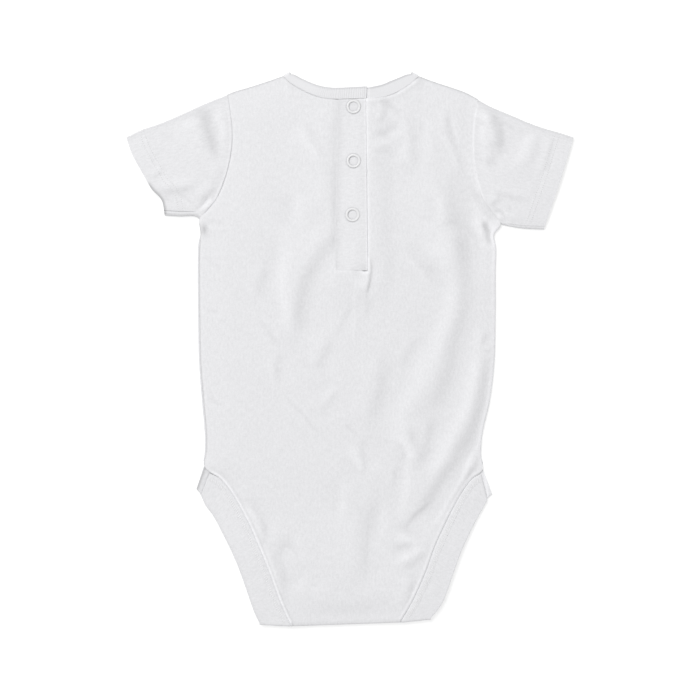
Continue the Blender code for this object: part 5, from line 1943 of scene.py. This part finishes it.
@dataclass
class Sleeve:
    """Set-in short sleeve: one flattened tube with a turned-up hem."""

    side: Side
    across_steps: int = 48
    upper_lines: int = 58           # lines of points on the upper layer
    lower_steps: int = 36
    fold_steps: int = 7
    crown: float = 0.9              # how far the upper layer swells between its folds
    swell: float = 0.12
    hem_rise: float = 0.12
    needle_row: Welt = Welt(-0.03, 0.0, 0.6)
    left_seam: tuple[Welt, ...] = (Welt(0.45, 0.8, 0.7), Welt(-0.3, 0.0, 0.3))
    underarm_groove: float = 0.55
    least_level: float = ARMHOLE_LEVEL - 0.9
    # painted shading: painted shade above zero, painted light below
    underarm_painted_shade: float = 2.0
    lower_rim_painted_shade: Welt = Welt(1.6, 0.0, 0.8)
    upper_rim_painted_shade: Welt = Welt(2.2, 0.0, 0.8)
    left_cuff_painted_shade: Welt = Welt(3.6, 0.4, 1.2)
    right_seam_painted_shading: tuple[Welt, Welt] = (Welt(-1.5, 0.0, 0.6), Welt(1.2, 0.0, 0.5))    # painted light high on the right armhole seam, painted shade low on it
    # depth of a crevice that gets the whole painted shade
    full_shade_depth: float = 0.35
    under_painted_shade: float = 0.8       # painted shade of the lower layer, which lies in the garment's shade
    # painted shade along the first line of the upper layer and along the cuff
    first_line_painted_shade: float = 0.6
    cuff_edge_painted_shade: float = 0.7

    def __post_init__(self) -> None:
        """Lay out the outline's lines and the grid's columns."""
        outline = SLEEVE_OUTLINES[self.side]
        left = self.side is Side.LEFT
        gap = SEAM_GAP if left else HAIR_GAP - SEAM_GAP / 2.0
        edge = [item.end(self.side) for item in ARMHOLE_SECTIONS]
        self.crisp = 1.0 if left else 0.5
        self.armhole = Line([(x + self.side.value * gap, y) for x, y in edge])
        self.cuff, self.top, self.bottom = Line(outline.cuff), Line(outline.top), Line(outline.bottom)
        self.label = self.side.name.lower()
        self.across = shares(self.across_steps, fine_start=True, fine_end=True)
        self.radius = (ARMHOLE_LEVEL - FRONT_LEVEL) / 2.0
        self.inset = self.radius + JERSEY_WALL / 2.0
        self.length = np.linalg.norm(self.patch(0.0) - self.patch(1.0), axis=1)
        self.reach = self.inset / self.length
        self.seam_up = UNDERARM_SEAMS[self.side] - self.inset

    def patch(self, down: Grid | float) -> Grid:
        """Plan points of one line from the body to the cuff.

        Args:
            down: Share of the way from the upper to the lower fold, for each column.

        Returns:
            One point for each column.
        """
        down = down * np.ones_like(self.across)
        top_left, top_right = self.armhole.at(0.0), self.cuff.at(0.0)
        low_left, low_right = self.armhole.at(1.0), self.cuff.at(1.0)
        a, d = self.across[:, None], down[:, None]
        flat = lerp(lerp(top_left, top_right, a), lerp(low_left, low_right, a), d)
        sides = lerp(self.armhole.at(down), self.cuff.at(down), a)
        return sides + lerp(self.top.at(self.across), self.bottom.at(self.across), d) - flat

    def line_shares(self) -> list[Grid]:
        """Shares of the upper layer's lines, closer together at the underarm seam.

        Returns:
            The shares from the upper to the lower fold, one list entry for each line.
        """
        near = np.concatenate([np.linspace(1.5, -1.5, 9) + self.seam_up, [0.3 * self.seam_up - 0.4, 0.0]])
        last = 1.0 - (self.seam_up + 1.5) / self.length
        spread = np.linspace(0.0, 1.0, self.upper_lines - len(near) + 1)[:-1]
        return [share * last for share in spread] + [1.0 - gap / self.length for gap in near]

    def relief(self, x: Grid, y: Grid, down: Grid, seam_gap: Grid, cuff_gap: Grid) -> Grid:
        """Folds, hem and seam relief of the upper layer, above its plain level.

        Args:
            x: Places across, in millimetres.
            y: Places towards the neck.
            down: Shares from the upper to the lower fold.
            seam_gap: Distances to the armhole seam.
            cuff_gap: Distances to the cuff.

        Returns:
            The rise at each place.
        """
        relief = self.crown * np.sin(math.pi * np.clip(down, 0.0, 1.0)) * ease(seam_gap / 9.0)
        relief += fold_height(SLEEVE_FOLDS[self.side], x, y)
        relief += self.swell * ripple(x, y, 50 + self.side.value, 18.0)
        if self.side is Side.LEFT:
            relief += welts(seam_gap, *self.left_seam)
        relief += self.hem_rise * (1.0 - above(cuff_gap, HEM_ROWS[1] + 0.4, 1.4))
        return relief + sum(welts(cuff_gap - row, self.needle_row) for row in HEM_ROWS)

    def upper_line(self, share: Grid) -> tuple[Grid, Grid]:
        """One line of the upper layer.

        Args:
            share: Share of the way from the upper to the lower fold, for each column.

        Returns:
            Its points and their painted shading.
        """
        down = lerp(self.reach, 1.0 - self.reach, share)
        plan = self.patch(down)
        x, y = plan[:, 0], plan[:, 1]
        seam_gap, cuff_gap = self.armhole.gap(x, y), self.cuff.gap(x, y)
        rise = self.relief(x, y, down, seam_gap, cuff_gap) * ease(np.minimum(share, 1.0 - share) * 9.0)
        to_fold = (1.0 - share) * self.length
        groove = self.crisp * bell(to_fold - self.seam_up, 0.4) * above(seam_gap, 4.0, 4.0)
        level = np.maximum(ARMHOLE_LEVEL + rise - self.underarm_groove * groove, self.least_level)
        # painted shade in the underarm groove, at both folds, in the wide hollow beside the armhole and
        # inside the left cuff; painted light high and painted shade low along the right armhole seam
        painted_shading = self.underarm_painted_shade * groove + self.crisp * welts(to_fold, self.lower_rim_painted_shade)
        painted_shading += welts(share * self.length, self.upper_rim_painted_shade) + SLEEVE_SHADES[self.side].height(x, y)
        if self.side is Side.LEFT:
            painted_shading += welts(cuff_gap, self.left_cuff_painted_shade) * below(y, 119.0, 5.0)
        else:
            high, low = self.right_seam_painted_shading
            painted_shading += welts(seam_gap, high) * above(y, 102.0, 6.0)
            painted_shading += welts(seam_gap, low) * below(y, 106.0, 6.0)
        return np.column_stack([plan, level]), painted_shading

    def fold_line(self, down: Grid, far: float, step: int, rise: float) -> Grid:
        """One line of points round the upper or the lower fold of the tube.

        Args:
            down: Share at which the flat layers end.
            far: Share of the fold itself.
            step: Number of the line, counted round the fold.
            rise: 1 for a fold that runs from the lower layer up, -1 for one that runs down.

        Returns:
            One point for each column.
        """
        angle = math.pi * step / self.fold_steps
        plan = lerp(self.patch(down), self.patch(far), math.sin(angle) * self.radius / self.inset)
        level = (ARMHOLE_LEVEL + FRONT_LEVEL) / 2.0 - rise * math.cos(angle) * self.radius
        return np.column_stack([plan, np.full(len(plan), level)])

    def build(self, finishes: Finishes) -> Object:
        """Make the sleeve.

        Args:
            finishes: The garment's finishes.

        Returns:
            The finished piece.
        """
        upper = [self.upper_line(share) for share in self.line_shares()]
        lines = [points for points, _ in upper]
        turns = range(1, self.fold_steps)
        lines += [self.fold_line(1.0 - self.reach, 1.0, step, -1.0) for step in turns]
        for share in np.linspace(1.0, 0.0, self.lower_steps + 1):
            plan = self.patch(lerp(self.reach, 1.0 - self.reach, share))
            lines.append(np.column_stack([plan, np.full(len(plan), FRONT_LEVEL)]))
        lines += [self.fold_line(self.reach, 0.0, step, 1.0) for step in turns]
        points = np.stack(lines, axis=1)
        # painted shade in crevices and painted light on ridges, then the upper layer's painted shading;
        # painted shade over the lower layer, the first line and the cuff
        hollow = np.clip(crevice(points[:, :, 2], 5) / self.full_shade_depth, -1.0, 1.0)
        hollow[:, :len(upper)] += np.stack([painted_shading for _, painted_shading in upper], axis=1)
        hollow[:, len(upper):] = self.under_painted_shade
        hollow[:, 0] = self.first_line_painted_shade
        hollow[-1, :] = np.maximum(hollow[-1, :], self.cuff_edge_painted_shade)
        cloth = Cloth(f"sleeve_{self.label}", points, self.weave(points), JERSEY_WALL, hollow,
                      closed=True, flipped=self.side is Side.RIGHT)
        piece = cloth.build(finishes.jersey, Slot.JERSEY)
        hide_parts(f"sleeve_{self.label}")
        return piece

    def weave(self, points: Grid) -> Grid:
        """Place in the cut cloth: wales run along the arm, courses round it.

        Args:
            points: Points of the tube.

        Returns:
            The place of each point.
        """
        ring = np.linalg.norm(np.diff(points, axis=1), axis=2).mean(axis=0)
        run = np.linalg.norm(np.diff(points, axis=0), axis=2).mean(axis=1)
        around = np.concatenate(([0.0], np.cumsum(ring)))
        outwards = np.concatenate(([0.0], np.cumsum(run)))
        return np.stack(np.broadcast_arrays(around[None, :], outwards[:, None]), axis=-1)


# ---- Stitches ----

@dataclass(frozen=True)
class StitchKind:
    """Sizes of one kind of stitch, in millimetres; its turn is its angle to the row, in radians."""

    size: tuple[float, float, float]
    pitch: float
    sink: float
    turn: float = 0.0
    # radius of a flat dark disc of painted shade beside each stitch, for the shade in its needle hole
    hole_shade: float = 0.0


HEM_STITCH = StitchKind((1.0, 0.4, 0.2), pitch=1.6, sink=0.06, hole_shade=0.22)
COVER_STITCH = StitchKind((3.2, 0.6, 0.17), pitch=1.45, sink=0.04, turn=1.25)
COVER_MIDDLE = 3.6          # middle of the coverstitch, from the band's seam
COVER_STRETCH = (0.01, 0.985)   # shares of the band's seam between which it runs


class Stitches:
    """Rows of small stitches laid on finished cloth, each a copy of one modelled stitch."""

    def __init__(self) -> None:
        """Model one stitch along X, a flattened loop of thread one unit long and wide."""
        bpy.ops.object.select_all(action="DESELECT")
        bpy.ops.mesh.primitive_cylinder_add(vertices=6, radius=0.5, depth=0.6,
                                            rotation=(0.0, math.pi / 2.0, 0.0))
        obj = bpy.context.object
        bpy.ops.object.transform_apply(location=True, rotation=True, scale=True)
        bpy.ops.object.mode_set(mode="EDIT")
        bpy.ops.mesh.select_mode(type="FACE")
        bpy.ops.mesh.select_all(action="DESELECT")
        bpy.ops.object.mode_set(mode="OBJECT")
        for end in Side:
            for face in obj.data.polygons:
                face.select = face.normal.x * end.value > 0.9
            bpy.ops.object.mode_set(mode="EDIT")
            bpy.ops.mesh.extrude_region_move(
                TRANSFORM_OT_translate={"value": (0.2 * end.value, 0.0, 0.0)})
            bpy.ops.transform.resize(value=(1.0, 0.45, 0.45),
                                     center_override=(0.5 * end.value, 0.0, 0.0))
            bpy.ops.mesh.select_all(action="DESELECT")
            bpy.ops.object.mode_set(mode="OBJECT")
        spots = np.zeros(len(obj.data.vertices) * 3)
        obj.data.vertices.foreach_get("co", spots)
        self.spots = spots.reshape(-1, 3)
        self.faces = [tuple(face.vertices) for face in obj.data.polygons]
        bpy.data.objects.remove(obj, do_unlink=True)

    def lay(self, name: str, cloth: Object, kind: StitchKind, rows: list[tuple[Grid, Grid]],
            finishes: Finishes) -> Object:
        """Lay stitches on a cloth.

        Args:
            name: Name of the piece.
            cloth: Finished cloth that carries the stitches.
            kind: Kind of the stitches.
            rows: For each row, the plan middles of its stitches and their directions.
            finishes: The garment's finishes.

        Returns:
            The joined piece.
        """
        tree = BVHTree.FromObject(cloth, bpy.context.evaluated_depsgraph_get())
        angles = np.arange(6) * math.tau / 6.0
        # flat dark disc of painted shade for the needle hole beside each stitch
        disc = np.column_stack([np.cos(angles), np.sin(angles), np.zeros(6)]) * kind.hole_shade
        parts = []
        for middles, directions in rows:
            for (x, y), (dx, dy) in zip(middles, directions):
                spot, normal, _, _ = tree.ray_cast(Vector((x * MM, y * MM, 0.05)), Vector((0.0, 0.0, -1.0)))
                if spot is None:
                    continue
                run = Vector((dx, dy, 0.0))
                run = (run - normal * run.dot(normal)).normalized()
                turn = np.array([run, normal.cross(run), normal]) * MM
                place = np.array(spot) + turn[2] * (kind.size[2] * 0.5 - kind.sink)
                parts.append(((self.spots * kind.size) @ turn + place, self.faces, 0.0))
                if kind.hole_shade:
                    beside = kind.size[0] * 0.5 + kind.hole_shade * 0.7
                    place = np.array(spot) + turn[0] * beside + turn[2] * 0.03
                    parts.append((disc @ turn + place, [tuple(range(6))], 1.0))
        return self.join(name, parts, finishes)

    def join(self, name: str, parts: list[tuple[Grid, list[tuple[int, ...]], float]],
             finishes: Finishes) -> Object:
        """Join stitches and needle holes into one piece.

        Args:
            name: Name of the piece.
            parts: Points and faces of each part, and 1 for a disc of painted shade at a needle hole or 0 for
                a stitch.
            finishes: The garment's finishes.

        Returns:
            The joined piece.
        """
        faces = []
        base = 0
        for points, corners, _ in parts:
            faces.extend(tuple(corner + base for corner in face) for face in corners)
            base += len(points)
        mesh = bpy.data.meshes.new(name)
        mesh.from_pydata(np.concatenate([points for points, _, _ in parts]).tolist(), [], faces)
        hole_shades = np.concatenate([np.full(len(points), hole_shade) for points, _, hole_shade in parts])
        mesh.attributes.new("hole_shade", "FLOAT", "POINT").data.foreach_set("value", hole_shades.astype(np.float32))
        mesh.shade_smooth()
        mesh.materials.append(finishes.thread)
        obj = bpy.data.objects.new(name, mesh)
        bpy.context.scene.collection.objects.link(obj)
        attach(obj, "root")
        return obj


def row_along(line: Line, pitch: float, stretch: tuple[float, float] = (0.0, 1.0),
              turn: float = 0.0) -> tuple[Grid, Grid]:
    """Middles and directions of stitches along a line.

    Args:
        line: The row's line in plan.
        pitch: Distance between two stitches.
        stretch: Shares of the line where the row begins and ends.
        turn: Angle of each stitch to the line, in radians.

    Returns:
        Middles and directions, one for each stitch.
    """
    start, end = stretch
    count = max(2, round(line.length * (end - start) / pitch))
    places = start + (end - start) * (np.arange(count) + 0.5) / count
    step = 0.5 / line.length
    direction = line.at(np.minimum(places + step, 1.0)) - line.at(np.maximum(places - step, 0.0))
    direction = unit(direction[:, :2])
    cos, sin = math.cos(turn), math.sin(turn)
    turned_to = np.column_stack([direction[:, 0] * cos - direction[:, 1] * sin,
                                 direction[:, 0] * sin + direction[:, 1] * cos])
    return line.at(places)[:, :2], turned_to


# ---- Snaps ----

@dataclass
class RingSnap:
    """Ring snap of a baby garment: an enamelled ring cap, pressed through the cloth."""

    # radius and height of each turn of the cap's section, from its outer foot over to its inner foot
    profile: Path = ((4.8, 0.0), (4.8, 0.5), (4.7, 0.74), (4.1, 0.8), (3.55, 0.74), (3.42, 0.5), (3.42, 0.0))
    sides: int = 56
    stud_sides: int = 32
    flange: float = 0.4             # share of a stud's height that is its flange
    stud_edge: float = 0.08
    smooth_angle: float = 40.0

    def named(self, name: str) -> Object:
        """Name a new primitive, and apply its place.

        Args:
            name: Name of the piece.

        Returns:
            The primitive's object.
        """
        bpy.context.object.name = name
        bpy.ops.object.transform_apply(location=True, rotation=True, scale=True)
        return bpy.context.object

    def ring(self, name: str, node: str, finishes: Finishes, top: float, height: float,
             facing: float = 1.0) -> Object:
        """Make a ring cap where its node is.

        Args:
            name: Name of the piece.
            node: CAD node that it stands for.
            finishes: The garment's finishes.
            top: Level of its outermost face, in millimetres.
            height: Height of its section.
            facing: 1 faces up and -1 faces down.

        Returns:
            The finished piece.
        """
        low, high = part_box(node)
        centre = (low + high) / 2.0
        foot = Vector((centre.x, centre.y, (top - facing * height) * MM))
        bpy.ops.object.select_all(action="DESELECT")
        bpy.ops.mesh.primitive_circle_add(vertices=self.sides, radius=self.profile[0][0] * MM, location=foot)
        obj = self.named(name)
        bpy.ops.object.mode_set(mode="EDIT")
        bpy.ops.mesh.select_mode(type="EDGE")
        bpy.ops.mesh.select_all(action="SELECT")
        tallest = max(level for _, level in self.profile)
        for (radius, level), (next_radius, next_level) in zip(self.profile, self.profile[1:]):
            lift = (next_level - level) / tallest * height * facing * MM
            grow = next_radius / radius
            bpy.ops.mesh.extrude_edges_move(TRANSFORM_OT_translate={"value": (0.0, 0.0, lift)})
            bpy.ops.transform.resize(value=(grow, grow, 1.0), center_override=foot)
        bpy.ops.mesh.select_all(action="DESELECT")
        bpy.ops.mesh.select_non_manifold()
        bpy.ops.mesh.bridge_edge_loops()
        bpy.ops.mesh.select_all(action="SELECT")
        bpy.ops.mesh.normals_make_consistent(inside=False)
        bpy.ops.object.mode_set(mode="OBJECT")
        smooth = obj.modifiers.new("round", "SUBSURF")
        smooth.levels = 1
        smooth.render_levels = 1
        apply_modifiers(obj)
        return self.dress(obj, node, finishes)

    def stud(self, name: str, node: str, finishes: Finishes) -> Object:
        """Make the hidden half of a snap between the strips: a flanged disc with a raised post.

        Args:
            name: Name of the piece.
            node: CAD node that it stands for.
            finishes: The garment's finishes.

        Returns:
            The finished piece.
        """
        low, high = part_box(node)
        centre = (low + high) / 2.0
        radius = (high.x - low.x) / 2.0
        height = high.z - low.z
        flange = height * self.flange
        bpy.ops.object.select_all(action="DESELECT")
        bpy.ops.mesh.primitive_cylinder_add(vertices=self.stud_sides, radius=radius, depth=flange,
                                            location=(centre.x, centre.y, low.z + flange / 2.0))
        obj = self.named(name)
        bpy.ops.object.mode_set(mode="EDIT")
        bpy.ops.mesh.select_all(action="DESELECT")
        bpy.ops.object.mode_set(mode="OBJECT")
        for face in obj.data.polygons:
            face.select = face.normal.z > 0.9
        bpy.ops.object.mode_set(mode="EDIT")
        bpy.ops.mesh.select_mode(type="FACE")
        bpy.ops.mesh.inset(thickness=radius * 0.4)
        bpy.ops.mesh.extrude_region_move(TRANSFORM_OT_translate={"value": (0.0, 0.0, height - flange)})
        bpy.ops.mesh.inset(thickness=radius * 0.15)
        bpy.ops.object.mode_set(mode="OBJECT")
        edge = obj.modifiers.new("edge", "BEVEL")
        edge.width = self.stud_edge * MM
        edge.segments = 2
        edge.limit_method = "ANGLE"
        apply_modifiers(obj)
        return self.dress(obj, node, finishes)

    def dress(self, obj: Object, node: str, finishes: Finishes) -> Object:
        """Shade a snap's part, give it its finish and let it stand for its node.

        Args:
            obj: The modelled part.
            node: CAD node that it stands for.
            finishes: The garment's finishes.

        Returns:
            The finished piece.
        """
        select_only(obj)
        bpy.ops.object.shade_smooth_by_angle(angle=math.radians(self.smooth_angle))
        obj.data.materials.clear()
        obj.data.materials.append(finishes.enamel)
        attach(obj, "root")
        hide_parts(node)
        return obj


# ---- Garment and stage ----

@dataclass
class Bodysuit:
    """The whole garment."""

    ring_top: float = 6.35          # outermost face of the placket's ring caps
    ring_height: float = 0.34
    crotch_cap_height: float = 0.75

    def __post_init__(self) -> None:
        """Make the finishes and the stitch pattern."""
        self.finishes = Finishes()
        self.stitches = Stitches()

    def hem_stitches(self, sleeve: Sleeve, cloth: Object) -> Object:
        """Twin-needle rows round a sleeve's hem, on its upper layer.

        Args:
            sleeve: The sleeve's layout.
            cloth: Its finished cloth.

        Returns:
            The finished piece.
        """
        plan = sleeve.cuff.at(np.linspace(0.03, 0.97, 40))
        tangent = unit(np.gradient(plan, axis=0))
        inward = np.column_stack([tangent[:, 1], -tangent[:, 0]]) * sleeve.side.value
        rows = [row_along(Line(plan + inward * gap, smooth=False), HEM_STITCH.pitch) for gap in HEM_ROWS]
        return self.stitches.lay(f"stitches_hem_{sleeve.label}", cloth, HEM_STITCH, rows, self.finishes)

    def band_stitches(self, side: Side, cloth: Object) -> Object:
        """Coverstitch rows on a leg band, beside the body seam.

        Args:
            side: Side of the band.
            cloth: Its finished cloth.

        Returns:
            The finished piece.
        """
        table = band_rows(side, BACK_BANDS[side], BACK_LEG_SECTIONS, 3.0)
        outwards = unit(table[:, 2:] - table[:, :2])
        line = Line(table[:, :2] + outwards * COVER_MIDDLE, smooth=False)
        rows = [row_along(line, COVER_STITCH.pitch, COVER_STRETCH, COVER_STITCH.turn * side.value)]
        name = f"stitches_band_{side.name.lower()}"
        return self.stitches.lay(name, cloth, COVER_STITCH, rows, self.finishes)

    def build_snaps(self) -> list[Object]:
        """Make the three placket snaps and the three crotch snaps.

        Returns:
            The placket's ring caps.
        """
        snap = RingSnap()
        rings = []
        for number in (1, 2, 3):
            rings.append(snap.ring(f"ring_cap_{number}", f"snap_ring_{number}", self.finishes,
                                   self.ring_top, self.ring_height))
            snap.stud(f"stud_{number}", f"snap_stud_{number}", self.finishes)
            snap.ring(f"crotch_cap_{number}", f"crotch_snap_{number}", self.finishes, 0.0,
                      self.crotch_cap_height, facing=-1.0)
        return rings

    def build(self) -> None:
        back = report("back panel", BackPanel().build(self.finishes))
        front = report("front panel", FrontPanel().build(self.finishes))
        over, under = Placket().build(self.finishes)
        report("placket", over, under)
        rib = report("neck rib", NeckRib().build(self.finishes))
        rings = self.build_snaps()
        report("ring caps", *rings)
        for side in Side:
            self.build_side(side)

    def build_side(self, side: Side) -> None:
        """Build the sleeve and the leg bands of one side, with their stitches, and log their faces.

        Args:
            side: The side.
        """
        layout = Sleeve(side)
        sleeve = report(f"{layout.label} sleeve", layout.build(self.finishes))
        hem = self.hem_stitches(layout, sleeve)
        band = LegBand(side)
        back = band.build_back(self.finishes)
        cover = self.band_stitches(side, back)
        front = band.build_front(self.finishes)
        report(f"{band.label} leg bands", back, front)


def report(label: str, *pieces: Object) -> Object:
    """Log how many faces some pieces have.

    Args:
        label: What they are.
        pieces: The pieces.

    Returns:
        The first piece.
    """
    log.info("%s: %d faces", label, sum(len(piece.data.polygons) for piece in pieces))
    return pieces[0]


@dataclass
class Studio:
    """Pale floor, soft lights and the camera straight above the garment, in metres."""

    floor_half: float = 3.0
    floor_drop: float = 0.00002     # how far the floor lies under the garment
    floor_grey: tuple[float, float] = (0.48, 0.50)
    floor_glow: float = 0.55
    camera_height: float = 2.0
    view_width: float = 0.49
    sensor: float = 36.0
    key_place: tuple[float, float, float] = (-1.45, 1.8, 3.5)
    key_size: float = 2.6
    key_power: float = 112.0
    world_strength: float = 0.66

    def build_floor(self) -> None:
        """Plain pale floor, a little rough, just under the garment."""
        bpy.ops.object.select_all(action="DESELECT")
        bpy.ops.mesh.primitive_plane_add(size=self.floor_half * 2.0, location=(0.0, 0.0, -self.floor_drop))
        floor = bpy.context.object
        floor.name = "floor"
        material, nodes, shader = new_material("pale_floor")
        dark, light = (opaque((grey, grey, grey)) for grey in self.floor_grey)
        grain = nodes.noise(nodes.object_place(), 40.0, 3.0)
        nodes.feed(shader, Base_Color=nodes.mix(grain, dark, light), Roughness=0.9, Specular_IOR_Level=0.1,
                   Emission_Color=WHITE, Emission_Strength=self.floor_glow)
        floor.data.materials.append(material)

    def build_lights(self) -> None:
        """Large soft light from the upper left that faces the garment, and an even sky."""
        data = bpy.data.lights.new("key", "AREA")
        data.size = self.key_size
        data.energy = self.key_power
        lamp = bpy.data.objects.new("key", data)
        lamp.location = self.key_place
        lamp.rotation_euler = (-Vector(self.key_place)).to_track_quat("-Z", "Y").to_euler()
        bpy.context.scene.collection.objects.link(lamp)
        world = bpy.data.worlds.new("studio")
        world.use_nodes = True
        Nodes(world.node_tree).feed(world.node_tree.nodes["Background"], Color=WHITE,
                                    Strength=self.world_strength)
        bpy.context.scene.world = world

    def build_camera(self) -> None:
        """Camera straight above, with the neck at the top of the picture."""
        data = bpy.data.cameras.new("camera")
        data.sensor_width = self.sensor
        data.lens = self.sensor * self.camera_height / self.view_width
        camera = bpy.data.objects.new("camera", data)
        camera.location = (0.0, 0.0, self.camera_height)
        bpy.context.scene.collection.objects.link(camera)
        bpy.context.scene.camera = camera

    def build(self) -> None:
        """Set the stage."""
        self.build_floor()
        self.build_lights()
        self.build_camera()
        settings = bpy.context.scene.view_settings
        settings.view_transform = "Standard"
        settings.look = "None"


def main() -> None:
    """Build the garment and its stage."""
    logging.basicConfig(level=logging.INFO, format="%(name)s: %(message)s")
    Bodysuit().build()
    Studio().build()


if __name__ == "__main__":
    main()
